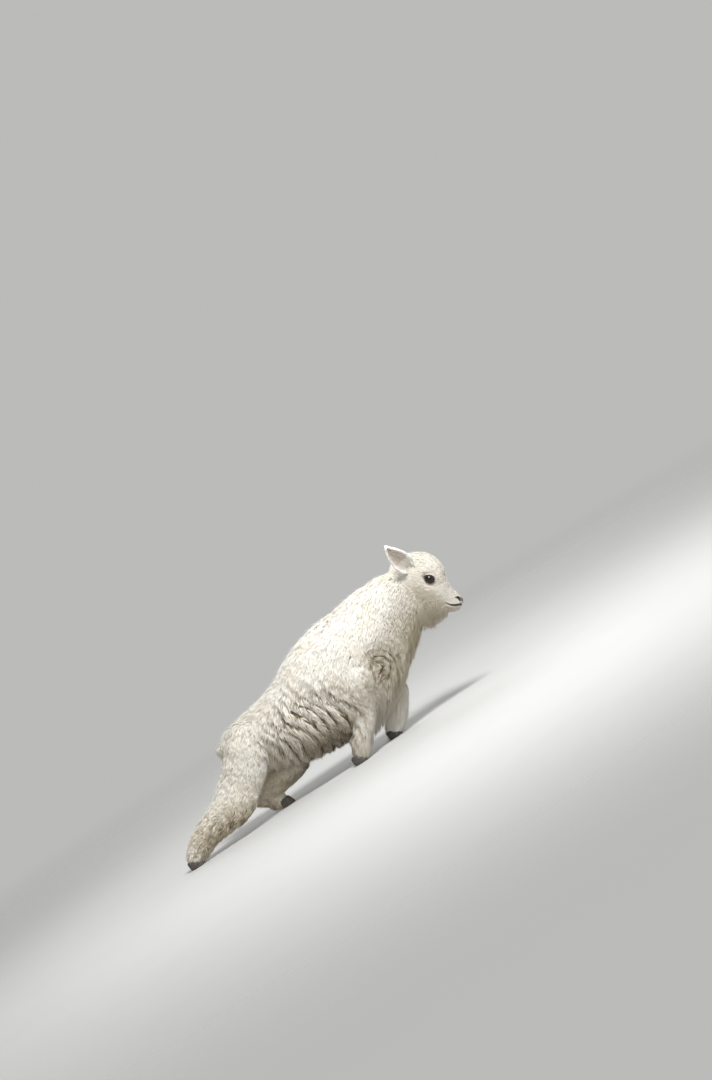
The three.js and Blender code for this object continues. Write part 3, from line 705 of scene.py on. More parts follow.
def bare_skin(points):
    """How bare and dark the skin is: 1 at the nose, lips and lids."""
    head = to_head(points)
    pad = smooth_step(2.2 - nostril_place(head), 0, 0.7)
    lip_width = 1.5 + 2.6 * smooth_step(head[:, 0], 112, 138)
    lips = smooth_step(lip_width - mouth_distance(head), -0.2, 0.8) * (head[:, 0] > 95)
    lids = smooth_step(1.32 - eye_opening(head), 0, 0.2) * (np.abs(head[:, 1]) > 20)
    bare = np.maximum.reduce([pad, spot(head, "nose_bridge"), 0.9 * lips, lids])
    return np.clip(bare, 0, 1) * (head[:, 0] > 20) * (np.abs(head[:, 2]) < 70)


# Coat

# For each form: length, width and height over the skin of its tufts in millimetres at its first and
# last station, tufts per square centimetre, the spacing of clumps and how far they draw tips together
COAT_KEYS = ("length", "width", "height", "density", "clump", "pull")
COATS = {
    "trunk": ((27, 21), (2.7, 2.3), (10.5, 8), 19, 10, 0.26),
    "tail": ((26, 22), (2.6, 2.3), (5, 4), 26, 9, 0.4),
    "head": ((16, 4), (2.2, 0.9), (3.2, 0.8), 35, 5, 0.2),
    "upper": ((22, 15), (2.6, 2.2), (8, 5.5), 22, 9, 0.35),
    "lower": ((14, 13), (2.2, 2), (5.5, 4.2), 26, 7, 0.4),
    "thigh": ((26, 24), (2.8, 2.6), (9.5, 8.5), 19, 11, 0.4),
    "shank": ((24, 19), (2.6, 2.4), (9, 7.5), 20, 10, 0.42),
    "cannon": ((18, 14), (2.4, 2), (7.5, 5.5), 24, 7, 0.42),
}
STRAY = 0.14  # how far tufts stray from the lie of the hair, in radians
# Hair hangs as it does on the photograph's slope, which falls to the rear
DOWN = unit(np.array((-0.5, 0.0, -0.86)))
coarse = Waves(46, 21)
fine = Waves(17, 22)
swirl_noise = Waves(36, 23)


def lie_in(name, direction, points):
    """Which way the hair lies on one form."""
    if name == "trunk":
        flank = smooth_step(150 - points[:, 2], -30, 60) * smooth_step(70 - points[:, 0], 0, 60)
        back_and_down = -direction * 0.9 + (0, 0, -0.7)
        return back_and_down + flank[:, None] * np.array((0.95, 0, -0.9))
    if name == "head":
        return -direction + DOWN * 0.3
    return direction + np.array((-0.15, 0, -0.2))


def field(points, normals):
    """Each point's nearest form, t and a, and the coat's values blended over the forms."""
    count = len(points)
    best, total = np.full(count, np.inf), np.zeros(count)
    found = {"owner": np.zeros(count, int), "t": np.zeros(count), "a": np.zeros(count)}
    sums = {key: np.zeros(count) for key in COAT_KEYS}
    lie = np.zeros((count, 3))
    for i, (name, form) in enumerate(FORMS.items()):
        depth, near_t, near_a, direction = form.nearest(points)
        weight = depth**-6.0
        share = np.clip(near_t / form.last, 0, 1)
        for key, value in zip(COAT_KEYS, COATS[name.split("_")[-1]]):
            low, high = value if isinstance(value, tuple) else (value, value)
            sums[key] += weight * (low + (high - low) * share)
        lie += weight[:, None] * unit(lie_in(name, direction, points))
        total += weight
        closer = depth < best
        best[closer] = depth[closer]
        for key, value in (("owner", i), ("t", near_t[closer]), ("a", near_a[closer])):
            found[key][closer] = value
    blended = {key: value / total for key, value in sums.items()}
    return blended | found | {"lie": tangent_to(lie, normals)}


def styled(points, normals, values):
    """The places where the coat is longer, shorter, hanging or swirled."""
    head = to_head(points)
    on_trunk = values["owner"] == list(FORMS).index("trunk")
    fold, fleece = fold_depth(points), flank_fleece(points) * on_trunk
    flank = np.clip(spot(points, "long_flank"), 0, 1) * on_trunk
    below = smooth_step(-normals[:, 2], 0.1, 0.8)
    belly = below * on_trunk * smooth_step(150 - points[:, 0], 0, 60)
    jaw = smooth_step(140 - head[:, 0], 0, 34) * smooth_step(head[:, 0], 44, 68)
    jaw = jaw * smooth_step(-head[:, 2], 16, 33)
    throat, chin, cheek = spot(points, "long_throat"), spot(head, "chin"), spot(head, "cheek")
    over_hooves = smooth_step(36 - points[:, 2], 0, 14)
    finer = smooth_step(head[:, 0], -75, 10) * smooth_step(120 - head[:, 0], 0, 40)
    for key, less in (("length", 0.35), ("height", 0.3), ("width", 0.25), ("clump", 0.3)):
        values[key] *= 1 - less * finer * on_trunk
    values["length"] = values["length"] * (1 + 0.75 * belly + 0.45 * flank) + 6 * over_hooves
    values["length"] += 34 * jaw + 5 * throat + 4 * chin + 7 * cheek
    values["height"] += 3 * jaw + 2 * cheek
    values["width"] += 0.5 * jaw
    hanging = (0.65 * belly, 0.95 * smooth_step(jaw, 0.02, 0.3), 0.4 * chin, 0.7 * over_hooves)
    values["hang"] = np.maximum.reduce(hanging)
    values["pull"] = (values["pull"] + 0.3 * belly) * (1 - 0.75 * fleece)
    values["clump"] += 3 * belly
    uneven = 1 + 0.12 * coarse(points) + 0.1 * fine(points)
    values["height"] *= (1 - 0.85 * fold) * uneven
    # Restless hair everywhere, most on the lower hind leg
    unruly = spot(points, "unruly_shank")
    turn = (0.16 * swirl_noise(points) + 0.12 * fine(points)) * smooth_step(values["length"], 4, 16)
    turn = turn * (1 - 0.7 * fleece) + rng.normal(0, STRAY, len(points)) * (1 + 1.2 * unruly)
    turn = (turn + 0.35 * unruly * fine(points))[:, None]
    lie = combed(points, normals, values["lie"])
    return values | {"lie": lie * np.cos(turn) + np.cross(normals, lie) * np.sin(turn)}


def scattered(mesh, faces, density):
    """Random roots on the mesh's triangles, so many to a square centimetre, with their normals."""
    corners = points_of(mesh)[faces]
    area = np.linalg.norm(np.cross(corners[:, 1] - corners[:, 0], corners[:, 2] - corners[:, 0]), axis=1) / 2
    wanted = np.cumsum(area / 100 * density) + rng.random()
    count = np.diff(np.floor(np.concatenate([[0], wanted]))).astype(int)
    chosen = np.repeat(np.arange(len(faces)), count)
    u, v = rng.random(len(chosen)), rng.random(len(chosen))
    over = u + v > 1
    u[over], v[over] = 1 - u[over], 1 - v[over]
    weights = np.stack([1 - u - v, u, v], axis=1)[..., None]
    normals = (normals_of(mesh)[faces[chosen]] * weights).sum(axis=1)
    return (corners[chosen] * weights).sum(axis=1), unit(normals)


RISE = {2: np.array((-0.2, 0.62, 1.0)), 3: np.array((-0.15, 0.5, 0.9, 1.0))}


def paths_over(surface, values, steps):
    """Each tuft's path: it follows the surface, rises to its height and hangs where it should."""
    roots, normals, lie = values["root"], values["normal"], values["lie"]
    here, normal = roots.copy(), normals.copy()
    stride = (values["length"] / steps)[:, None]
    scale = values["height"] * rng.uniform(0.8, 1.15, len(roots))
    sink = SINK * smooth_step(values["length"], 0, 22)
    path, up = [here - normal * (0.15 + sink)[:, None]], [normal.copy()]
    for i in range(1, steps + 1):
        ahead = here + lie * stride
        for k in range(len(ahead)):
            here[k], normal[k] = surface.find_nearest(ahead[k])[:2]
        normal = unit(normal + up[-1])
        lie = tangent_to(lie, normal)
        followed = here + normal * (scale * RISE[steps][i])[:, None]
        dropped = roots + normals * (scale * 0.5)[:, None] + (lie * 0.35 + DOWN) * stride * i * 0.9
        hang = (values["hang"] * (i / steps))[:, None]
        path.append(followed * (1 - hang) + dropped * hang)
        up.append(normal.copy())
    path, up = np.stack(path, axis=1), np.stack(up, axis=1)
    path[:, 1:, 2] = np.maximum(path[:, 1:, 2], 1.5)
    return path, up


def clumped(path, values):
    """Draws the tips of neighbouring tufts together into locks, and returns each tuft's lock too."""
    roots = values["root"]
    area_share = 100 / (values["density"] * values["clump"] ** 2)
    centres = np.flatnonzero(rng.random(len(roots)) < area_share)
    tree = KDTree(len(centres))
    for k, c in enumerate(centres):
        tree.insert(roots[c], k)
    tree.balance()
    lock = np.array([centres[tree.find(r)[1]] for r in roots])
    steps = path.shape[1] - 1
    share = ((np.arange(steps + 1) / steps) ** 1.5)[None, :, None]
    away = np.linalg.norm(path[lock, 0] - path[:, 0], axis=1)
    pull = (values["pull"] * smooth_step(2.2 * values["clump"] - away, 0, 1))[:, None, None]
    return path + (path[lock] - path) * pull * share + parting(roots)[:, None, :] * share, lock


ROOT_TINT = np.array((0.82, 0.78, 0.70))  # of a deep coat's roots, as a share of its tips: painted shade in the coat's depth over a warmer undercoat
LOCK_TINT = 0.035  # how much locks differ
BUFF_FIRST = 0.8  # how much of the soil and painted shade shows as buff between the white and the brown
THICKNESS = 0.45  # a tuft's height at its middle, as a share of half its width
ROUNDNESS = 0.6  # how much a tuft's shading turns away from the skin's
TILT = 0.28  # how unevenly tufts are rolled about their length, in radians
WISP_SHARE = 0.1  # stray wisps for each long tuft
HAIRLESS = 0.35  # how bare the skin is where hair ends
SHORT = 13  # tufts below this length have two steps, the others three
DEEP = (5, 20)  # lengths from which a coat's darker roots, painted shade in its depth, begin to show, and show fully
WIDTHS = {2: np.array((0.8, 0.9)), 3: np.array((0.75, 1.0, 0.7))}


def tuft_points(path, up, width):
    """The corners of each tuft, three to a ring, flat towards the skin, and a tip; and their soft normals."""
    steps = path.shape[1] - 1
    ahead = np.empty_like(path)
    ahead[:, 1:-1] = path[:, 2:] - path[:, :-2]
    ahead[:, 0], ahead[:, -1] = path[:, 1] - path[:, 0], path[:, -1] - path[:, -2]
    ahead = unit(ahead)
    across = unit(np.cross(ahead, up))
    tilt = rng.normal(0, TILT, len(path))[:, None, None]
    lifted = np.cross(across, ahead)
    flat = across
    across = across * np.cos(tilt) + lifted * np.sin(tilt)
    lifted = lifted * np.cos(tilt) - flat * np.sin(tilt)
    rings, shades, under = [], [], []
    for i in range(steps):
        half = (width * WIDTHS[steps][i] / 2)[:, None]
        left, right = path[:, i] - across[:, i] * half, path[:, i] + across[:, i] * half
        rings += [left, path[:, i] + lifted[:, i] * half * THICKNESS, right]
        shades += [up[:, i] + turned * ROUNDNESS for turned in (-across[:, i], lifted[:, i], across[:, i])]
        under += [-lifted[:, i]] * 3
    corners = np.stack(rings + [path[:, -1]], axis=1)
    above = unit(np.stack(shades + [up[:, -1] + ahead[:, -1] * ROUNDNESS], axis=1))
    return corners, above, np.stack(under + [-lifted[:, -1]], axis=1)


def tuft_faces(steps):
    """Triangles of one tuft, and which of them face the skin."""
    faces, under = [(0, 2, 1)], [True]
    for i in range(steps - 1):
        low, high = 3 * i, 3 * i + 3
        for j in range(3):
            k = (j + 1) % 3
            faces += [(low + j, low + k, high + k), (low + j, high + k, high + j)]
            under += [j == 2] * 2
    last, tip = 3 * steps - 3, 3 * steps
    faces += [(last + j, last + (j + 1) % 3, tip) for j in range(3)]
    under += [False, False, True]
    return np.array(faces), np.array(under)


def tuft_tints(values, lock, steps):
    """The tufts' colours: darker, warmer roots where the coat is deep, as painted shade over a warmer
    undercoat; brown where soil and painted shade are, most at the roots.
    """
    colours, deep = values["colour"], values["deep"]
    share = np.append(np.repeat(np.arange(steps) / steps, 3), 1.0)[None, :, None]
    # Painted shade: roots darken where the coat is deep
    root = colours * (1 - deep[:, None] * (1 - ROOT_TINT))
    tint = root[:, None] + (colours * 1.05 - root)[:, None] * share**0.8
    # soil and painted shade, strongest at the roots
    brown = np.clip(values["soil_and_shade"][:, None, None] * (1.15 - 0.8 * share), 0, 1)
    buff = np.minimum(BUFF_FIRST * brown, 1)
    tint = tint * (1 - buff) + BUFF * buff
    tint = tint * (1 - brown) + SHADE * brown
    of_locks = rng.uniform(1 - LOCK_TINT, 1 + LOCK_TINT, lock.max() + 1)[lock]
    vary = rng.uniform(0.94, 1.05, len(colours)) * (1 + (of_locks - 1) * deep)
    return np.clip(tint * vary[:, None, None], 0, 0.97)


PATCH = 0.003  # size of one tuft on the bake map


def root_map(values, steps):
    """Each tuft as a small patch at its root's place, where the forms are unrolled side by side."""
    t = values["t"]
    present, column = np.unique(values["owner"], return_inverse=True)
    u = (column + 0.02 + 0.96 * (values["a"] + np.pi) / (2 * np.pi)) / len(present)
    v = 0.01 + 0.98 * (t - t.min()) / max(t.max() - t.min(), 1e-6)
    across = np.append(np.tile((-0.5, 0.0, 0.5), steps), 0.0) * PATCH
    along = np.append(np.repeat(np.arange(steps) / steps, 3), 1.0) * PATCH - PATCH / 2
    return np.stack([u[:, None] + across, v[:, None] + along], axis=-1)


def tuft_mesh(name, corners, shades, tints, places, steps):
    """One mesh of many tufts, with their colours and their bake map."""
    count, each = len(corners), 3 * steps + 1
    faces, below = tuft_faces(steps)
    faces = (faces[None] + (np.arange(count) * each)[:, None, None]).reshape(-1, 3)
    above, under = (values.reshape(-1, 3)[faces] for values in shades)
    corner_normals = np.where(np.tile(below, count)[:, None, None], under, above)
    mesh = bpy.data.meshes.new(name)
    mesh.vertices.add(count * each)
    mesh.vertices.foreach_set("co", ((corners.reshape(-1, 3) + SHIFT) * MM).ravel())
    mesh.loops.add(faces.size)
    mesh.loops.foreach_set("vertex_index", faces.ravel())
    mesh.polygons.add(len(faces))
    mesh.polygons.foreach_set("loop_start", np.arange(len(faces)) * 3)
    mesh.update(calc_edges=True)
    paint(mesh, tints.reshape(-1, 3))
    layer = mesh.uv_layers.new(name="OFBake")
    layer.uv.foreach_set("vector", places.reshape(-1, 2)[faces.ravel()].ravel())
    mesh.polygons.foreach_set("use_smooth", np.full(len(faces), True))
    mesh.normals_split_custom_set(corner_normals.reshape(-1, 3))
    return mesh


def paint(mesh, colours):
    layer = mesh.color_attributes.new("Tint", "FLOAT_COLOR", "POINT")
    layer.data.foreach_set("color", np.column_stack([colours, np.ones(len(colours))]).ravel())


TRUNK_PIECES = ((2.3, "rump"), (4.4, "loin"), (6.4, "flank"), (8.8, "shoulder"), (99, "neck"))


def piece_names(values):
    """The coat piece that each tuft belongs to."""
    owner, t = values["owner"], values["t"]
    names = np.array(list(FORMS), dtype=object)[owner]
    side = np.where(values["root"][:, 1] < 0, "_right", "_left")
    trunk, head = names == "trunk", names == "head"
    bands = np.searchsorted([limit for limit, _ in TRUNK_PIECES], t)
    names[trunk] = [TRUNK_PIECES[b][1] + s for b, s in zip(bands[trunk], side[trunk])]
    names[head] = [("face" if k > 5 else "crown") + s for k, s in zip(t[head], side[head])]
    names[[name.endswith("cannon") for name in names]] = "hind_cannons"
    return names


def grow_coat(skin, surface, faces, material):
    """The coat of the body, in pieces: short tufts, long ones and stray wisps over them."""
    centres = points_of(skin)[faces].mean(axis=1)
    face_normals = unit(normals_of(skin)[faces].mean(axis=1))
    density = field(centres, face_normals)["density"] * (bare_skin(centres) < HAIRLESS)
    roots, normals = scattered(skin, faces, density)
    values = styled(roots, normals, field(roots, normals)) | {"root": roots, "normal": normals}
    values |= {"colour": markings_and_shade(roots, normals), "soil_and_shade": soil_and_shade(roots, normals)}
    values |= {"deep": smooth_step(values["length"], *DEEP), "piece": piece_names(values)}
    short = values["length"] < SHORT
    grow_tufts("short_coat_", surface, chosen(values, short), 2, material)
    grow_tufts("coat_", surface, chosen(values, ~short), 3, material)
    wisps = chosen(values, ~short & (rng.random(len(roots)) < WISP_SHARE))
    nape = spot(wisps["root"], "nape") * (wisps["normal"] @ UP_SLOPE > 0.3)
    wisps["length"] *= 1.15
    wisps["deep"] = smooth_step(wisps["length"], *DEEP)
    wisps["height"] = wisps["height"] * (1.45 + 0.5 * nape) + 2 + 3 * nape
    wisps["width"] *= 0.4
    wisps["pull"] *= 0.3
    grow_tufts("wisps_", surface, wisps, 2, material)


def chosen(values, which):
    return {key: value[which] for key, value in values.items()}


def grow_tufts(prefix, surface, values, steps, material, uneven=0.2):
    """A tuft from each root, as pieces named after the parts of the body."""
    path, up = paths_over(surface, values, steps)
    path, lock = clumped(path, values)
    widths = values["width"]
    if uneven:
        widths = widths * rng.uniform(1 - uneven, 1 + uneven, len(widths))
    corners, above, under = tuft_points(path, up, widths)
    tints = tuft_tints(values, lock, steps)
    for name in sorted(set(values["piece"])):
        own = np.flatnonzero(values["piece"] == name)
        places = root_map(chosen(values, own), steps)
        mesh = tuft_mesh(name, corners[own], (above[own], under[own]), tints[own], places, steps)
        piece(prefix + name, mesh, material)


EAR_DENSITY = 42.0  # tufts per square centimetre
EAR_COAT = {
    "density": EAR_DENSITY, "width": 1.5, "clump": 5.0, "pull": 0.3, "hang": 0.0, "owner": 0, "deep": 0.3,
    "soil_and_shade": 0.0,
}


def grow_ear_coat(skin, surface, faces, material):
    """Short hair on the ears, longer and whiter along their rims and at the opening."""
    centres = points_of(skin)[faces].mean(axis=1)
    for side, label in ((RIGHT, "right"), (LEFT, "left")):
        base, axis, front, across = ear_axes(side)
        own = faces[centres[:, 1] * side > 0]
        roots, normals = scattered(skin, own, np.full(len(own), EAR_DENSITY))
        free = HEAD_FORM.nearest(roots)[0] > 0.97
        roots, normals = roots[free], normals[free]
        count = len(roots)
        placed = to_head(roots) - base
        along = placed @ axis
        share = along / EAR["length"] + EAR_SUNK
        widths = np.interp(share, np.linspace(0, 1, len(EAR["half_widths"])), EAR["half_widths"])
        rim = smooth_step(np.abs(placed @ across) / widths, 0.7, 0.95)
        inner = smooth_step(normals @ (front @ HEAD_FORM.turn), 0.0, 0.5) * (1 - rim)
        opening = smooth_step(24 - along, 0, 14)
        lie = tangent_to(np.tile(axis @ HEAD_FORM.turn, (count, 1)), normals)
        lie = unit(lie + rng.normal(0, 0.16, lie.shape))
        colours = mixed(np.tile(WHITE, (count, 1)), EAR_INSIDE, 0.85 * inner * (1 - 0.5 * opening))
        values = {key: np.full(count, value) for key, value in EAR_COAT.items()}
        values |= {"root": roots, "normal": normals, "lie": tangent_to(lie, normals), "colour": colours}
        values |= {"length": 8 + 4 * rim + 8 * opening, "height": 1.3 + 2 * opening + 0.6 * rim}
        values |= {"t": along, "a": np.arctan2(normals[:, 1], normals[:, 0])}
        values["piece"] = np.full(count, "ear_" + label)
        grow_tufts("coat_", surface, values, 2, material, uneven=0)


# Eyes, lids and hooves


CORNEA = {"rise": 0.055, "spread": 0.55}  # share of the eye's radius, and radians from its pole


def make_eye(side, label, material):
    """A glossy eyeball with a raised cornea; its pole points out of the head."""
    angle = round_angles(48)
    rings = []
    for polar in np.linspace(0.03, np.pi - 0.03, 28):
        bulge = 1 + CORNEA["rise"] * math.exp(-((polar / CORNEA["spread"]) ** 2))
        x, z = np.sin(polar) * np.cos(angle), np.sin(polar) * np.sin(angle)
        ball = np.column_stack([x, np.full(len(angle), side * np.cos(polar)), z])
        rings.append(from_head(ball * ((EYE["radius"] - 0.1) * bulge) + eye_middle(side)))
    mesh = mesh_of("eye_" + label, *lofted(rings))
    iris = (to_head(points_of(mesh)) - eye_middle(side)) / EYE["radius"] * (1, side, 1)
    mesh.attributes.new("Iris", "FLOAT_VECTOR", "POINT").data.foreach_set("vector", iris.ravel())
    piece("eyeball_" + label, mesh, material, nodes=["eye_" + label])


def on_lid(turn, lift, side):
    """A point of the lids' edge, over the eyeball's middle, so far over the eyeball."""
    wide = math.sin(math.radians(LIDS["wide"])) * math.cos(turn)
    high = math.sin(math.radians(LIDS["high"])) * math.sin(turn)
    depth = math.sqrt(max(0.0, 1 - wide**2 - high**2))
    return np.array((wide, side * depth, high)) * (EYE["radius"] + lift)


def make_lids(side, label, material):
    """The bare rim of the lids, thickest along the upper lid."""
    b = round_angles(10)[:, None]
    rings = []
    for turn in round_angles(64):
        middle = on_lid(turn, 0.5, side)
        outside = unit(middle)
        across = np.cross(outside, unit(on_lid(turn + 0.05, 0, side) - on_lid(turn - 0.05, 0, side)))
        thick = 0.85 + 0.3 * max(math.sin(turn), 0)
        ring = middle + outside * np.cos(b) * thick + across * np.sin(b) * thick * 1.35
        rings.append(from_head(ring + eye_middle(side)))
    piece("lids_" + label, mesh_of("lids_" + label, *lofted(rings, closed=True)), material)


# Height over the sole, and size there
TOE_PROFILE = (
    (0, 0.93), (0.8, 0.98), (2.5, 1.0), (6, 0.985), (10, 0.95), (14, 0.9), (18, 0.83), (HOOF["height"], 0.7),
)


def toe_rings(at, turn, side):
    """Rings of one toe from its sole to its top."""
    turn = math.radians(turn)
    b = round_angles(40)
    pointed = np.where(np.cos(b) > 0, 1 - 0.3 * np.cos(b) ** 2, 1)
    rings = []
    for z, scale in TOE_PROFILE:
        x = np.cos(b) * HOOF["length"] / 2 * scale - HOOF["lean"] * z / HOOF["height"]
        y = np.sign(np.sin(b)) * np.abs(np.sin(b)) ** 0.8 * HOOF["width"] / 2 * scale * pointed
        y = y + side * (HOOF["width"] + HOOF["cleft"]) / 2
        ahead = at[0] + x * math.cos(turn) - y * math.sin(turn)
        across = at[1] + x * math.sin(turn) + y * math.cos(turn)
        rings.append(np.column_stack([ahead, across, np.full(len(b), float(z))]))
    return rings


def make_hooves(material):
    for foot, (at, turn) in HOOVES.items():
        own = RIGHT if foot.endswith("right") else LEFT
        for name, side in (("outer", own), ("inner", -own)):
            mesh = mesh_of(foot, *lofted(toe_rings(at, turn, side)))
            piece(f"hoof_{foot}_{name}", mesh, material, nodes=[f"{foot}_toe_{name}"])


# Materials


class Nodes:
    """A material's nodes, made by short calls."""

    def __init__(self, name):
        self.material = bpy.data.materials.new(name)
        self.material.use_nodes = True
        self.tree = self.material.node_tree

    def connect(self, node, inputs):
        """Sets a node's inputs to constants or to other nodes' outputs."""
        for key, value in inputs.items():
            if isinstance(value, bpy.types.NodeSocket):
                self.tree.links.new(value, node.inputs[key])
            else:
                node.inputs[key].default_value = value

    def add(self, kind, inputs, output=0, **settings):
        """An output of a new node, by its name or number."""
        node = self.tree.nodes.new("ShaderNode" + kind)
        for key, value in settings.items():
            setattr(node, key, value)
        self.connect(node, inputs)
        return node.outputs[output]

    def place(self):
        return self.add("TexCoord", {}, "Object")

    def multiplied(self, first, second):
        return self.add("VectorMath", {0: first, 1: second}, operation="MULTIPLY")

    def ramp(self, factor, *stops):
        """The colour at a factor, between stops of a place and a colour."""
        node = self.tree.nodes.new("ShaderNodeValToRGB")
        self.connect(node, {"Fac": factor})
        elements = node.color_ramp.elements
        while len(elements) < len(stops):
            elements.new(0.5)
        for element, (place, colour) in zip(elements, stops):
            element.position = place
            element.color = (*colour, 1)
        return node.outputs["Color"]

    def finish(self, **values):
        """The material, with the values of its shader's sockets."""
        shader = self.tree.nodes["Principled BSDF"]
        self.connect(shader, {key.replace("_", " "): value for key, value in values.items()})
        return self.material


def coat_material(name, bump):
    """Hair of the painted tint, with fine lighter and darker flecks."""
    made = Nodes(name)
    tint = made.add("Attribute", {}, "Color", attribute_name="Tint")
    noise = made.add("TexNoise", {"Vector": made.place(), "Scale": 260.0, "Detail": 4.0})
    flecks = made.add("MapRange", {"Value": noise, "To Min": 0.95, "To Max": 1.05})
    values = {"Base_Color": made.multiplied(tint, flecks), "Roughness": 0.72, "Specular_IOR_Level": 0.25}
    values |= {"Sheen_Weight": 0.25, "Sheen_Roughness": 0.5}
    if bump:
        values["Normal"] = made.add("Bump", {"Height": noise, "Strength": 0.5, "Distance": 0.0006})
    return made.finish(**values)


def bare_material():
    """Dark leathery skin of the lids."""
    made = Nodes("bare_skin")
    cells = made.add("TexVoronoi", {"Vector": made.place(), "Scale": 900.0})
    colour = made.ramp(cells, (0, (0.018, 0.014, 0.013)), (1, (0.06, 0.045, 0.04)))
    normal = made.add("Bump", {"Height": cells, "Strength": 0.4, "Distance": 0.0003})
    return made.finish(Base_Color=colour, Roughness=0.38, Normal=normal)


PUPIL_FLAT = 0.55  # the pupil's height as a share of its width


def eye_material():
    """A dark brown iris with a wide, level pupil under a wet cornea."""
    made = Nodes("eye")
    place = made.add("Attribute", {}, "Vector", attribute_name="Iris")
    x, z = (made.add("SeparateXYZ", {"Vector": place}, axis) for axis in "XZ")
    flat = made.add("Math", {0: x, 1: PUPIL_FLAT}, operation="MULTIPLY")
    flat, level = (made.add("CombineXYZ", {"X": across, "Z": z}) for across in (flat, x))
    pupil, radius = (made.add("VectorMath", {0: v}, "Value", operation="LENGTH") for v in (flat, level))
    fibres = made.add("TexNoise", {"Vector": place, "Scale": 9.0, "Detail": 6.0})
    iris = made.ramp(fibres, (0.3, (0.008, 0.004, 0.003)), (0.7, (0.03, 0.013, 0.007)))
    edge = made.ramp(radius, (0.62, (1, 1, 1)), (0.78, (0.25, 0.2, 0.2)))
    hole = made.ramp(pupil, (0.34, (0.05, 0.05, 0.05)), (0.42, (1, 1, 1)))
    values = {"Base_Color": made.multiplied(made.multiplied(iris, edge), hole), "Roughness": 0.3}
    values |= {"Specular_IOR_Level": 0.2, "Coat_Weight": 0.6, "Coat_Roughness": 0.03}
    return made.finish(**values)


def hoof_material():
    """Dark horn with growth rings and dusty scuffs."""
    made = Nodes("hoof_horn")
    bands = {"Vector": made.place(), "Scale": 160.0, "Distortion": 3.0, "Detail": 3.0}
    rings = made.add("TexWave", bands, "Fac", bands_direction="Z")
    noise = made.add("TexNoise", {"Vector": made.place(), "Scale": 120.0, "Detail": 5.0})
    both = made.add("Math", {0: rings, 1: noise}, operation="MULTIPLY")
    stops = (0.05, (0.03, 0.025, 0.022)), (0.45, (0.09, 0.075, 0.062)), (0.8, (0.2, 0.17, 0.14))
    normal = made.add("Bump", {"Height": both, "Strength": 0.5, "Distance": 0.0008})
    return made.finish(Base_Color=made.ramp(both, *stops), Roughness=0.55, Normal=normal)


# Floor, light and camera

SLOPE = 32.5  # how far the photograph's ground rises to the right, in degrees
ELEVATION = 2.0
DISTANCE = 7.0  # metres
SENSOR = 36
AIM = (252, 0, 434)  # the middle of the frame, in the floor frame
FRAME_HEIGHT = 2.473  # metres at the kid
BACKDROP = (0.80, 0.80, 0.79)
BACKDROP_STRENGTH = 0.62
LIT = (0.04, 0, 0.18)  # where the lights point, in metres
# Each light's name, place and size in metres, and power
LIGHTS = (
    ("key", (1.0, -1.45, 2.2), 0.8, 84),
    ("fill", (-1.9, -2.2, 0.9), 2.0, 8),
    ("back", (0.2, 2.2, 1.7), 1.6, 20),
)
FLOOR_RADIUS = 3800
FLOOR_LEVELS = (-6, -0.2)
FLOOR_FADE = {"From Min": 0.6, "From Max": 3.4, "To Min": 1.0, "To Max": 0.0}  # metres


def make_floor():
    """A pale floor that fades into the backdrop away from the kid."""
    turns = round_angles(96)
    circle = np.column_stack([np.cos(turns), np.sin(turns)]) * FLOOR_RADIUS
    mesh = mesh_of("floor", *lofted([np.column_stack([circle, np.full(96, z)]) for z in FLOOR_LEVELS]))
    made = Nodes("floor")
    noise = made.add("TexNoise", {"Vector": made.place(), "Scale": 6.0, "Detail": 3.0})
    colour = made.ramp(noise, (0.3, (0.515, 0.515, 0.505)), (0.7, (0.525, 0.525, 0.515)))
    near = made.add("VectorMath", {0: made.place()}, "Value", operation="LENGTH")
    seen = made.add("MapRange", {"Value": near, **FLOOR_FADE}, interpolation_type="SMOOTHSTEP")
    mesh.materials.append(made.finish(Base_Color=colour, Roughness=0.9, Alpha=seen))
    linked("floor", mesh)


def add_light(name, place, size, power):
    light = bpy.data.lights.new(name, "AREA")
    light.shape, light.size, light.energy = "DISK", size, power
    obj = linked(name, light)
    obj.location = place
    obj.rotation_mode = "QUATERNION"
    obj.rotation_quaternion = (Vector(LIT) - Vector(place)).to_track_quat("-Z", "Y")


def make_lights():
    world = bpy.data.worlds.new("studio")
    world.use_nodes = True
    background = world.node_tree.nodes["Background"]
    background.inputs["Color"].default_value = (*BACKDROP, 1)
    background.inputs["Strength"].default_value = BACKDROP_STRENGTH
    bpy.context.scene.world = world
    for light in LIGHTS:
        add_light(*light)


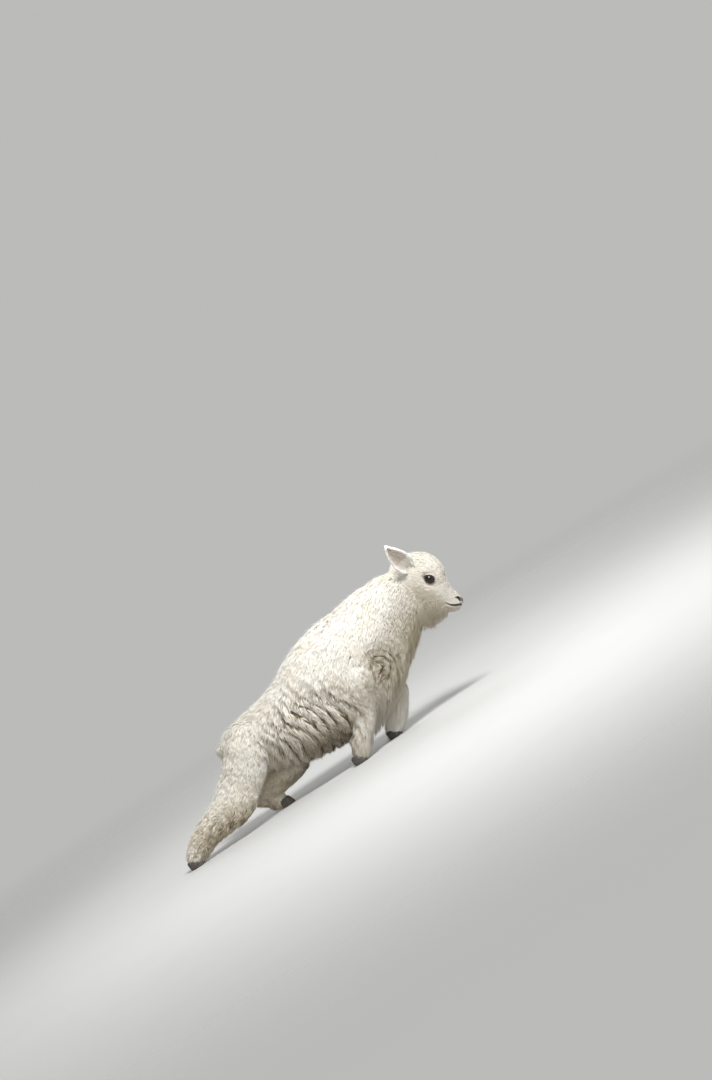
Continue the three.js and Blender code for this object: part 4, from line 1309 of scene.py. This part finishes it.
def make_camera():
    """The photograph's view: level along +Y, rolled by the slope of its ground."""
    elevation, roll = math.radians(ELEVATION), math.radians(SLOPE)
    forward = Vector((0, math.cos(elevation), -math.sin(elevation)))
    level, upright = Vector((1, 0, 0)), Vector((0, math.sin(elevation), math.cos(elevation)))
    right = level * math.cos(roll) - upright * math.sin(roll)
    up = level * math.sin(roll) + upright * math.cos(roll)
    data = bpy.data.cameras.new("camera")
    data.sensor_width = SENSOR
    data.lens = SENSOR * DISTANCE / FRAME_HEIGHT
    camera = linked("camera", data)
    aim = Vector((np.array(AIM) + SHIFT) * MM)
    turned = Matrix((right, up, -forward)).transposed().to_4x4()
    camera.matrix_world = Matrix.Translation(aim - forward * DISTANCE) @ turned
    bpy.context.scene.camera = camera


# The scene


SKIN_TINT = 0.96  # the skin's colour under the hair, as a share of the hair's
# The most that soil and painted shade darken the skin
MOST_SOIL_AND_SHADE = 0.9


def skin_colours(skin):
    """The coat's markings, its soil and its painted shade, and the bare skin."""
    points, normals = points_of(skin), normals_of(skin)
    soiled_and_shaded = np.minimum(soil_and_shade(points, normals), MOST_SOIL_AND_SHADE)
    colours = mixed(markings_and_shade(points, normals) * SKIN_TINT, SHADE, soiled_and_shaded)
    return mixed(colours, DARK, bare_skin(points))


def triangles_of(mesh):
    mesh.calc_loop_triangles()
    corners = np.empty(len(mesh.loop_triangles) * 3, np.int32)
    mesh.loop_triangles.foreach_get("vertices", corners)
    return corners.reshape(-1, 3)


def main():
    skin, ear_points = make_skin()
    paint(skin, skin_colours(skin))
    points, faces = points_of(skin), triangles_of(skin)
    on_ear = faces.min(axis=1) >= len(points) - ear_points
    surface = BVHTree.FromPolygons(points.tolist(), faces.tolist())
    hair, leather, eye = coat_material("coat_hair", bump=False), bare_material(), eye_material()
    flesh = [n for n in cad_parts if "toe" not in n and not n.startswith("eye")]
    piece("skin", skin, coat_material("skin", bump=True), nodes=flesh)
    grow_coat(skin, surface, faces[~on_ear], hair)
    grow_ear_coat(skin, surface, faces[on_ear], hair)
    for side, label in ((RIGHT, "right"), (LEFT, "left")):
        make_eye(side, label, eye)
        make_lids(side, label, leather)
    make_hooves(hoof_material())
    make_floor()
    make_lights()
    make_camera()


main()
bpy.context.scene.view_settings.view_transform = "Standard"
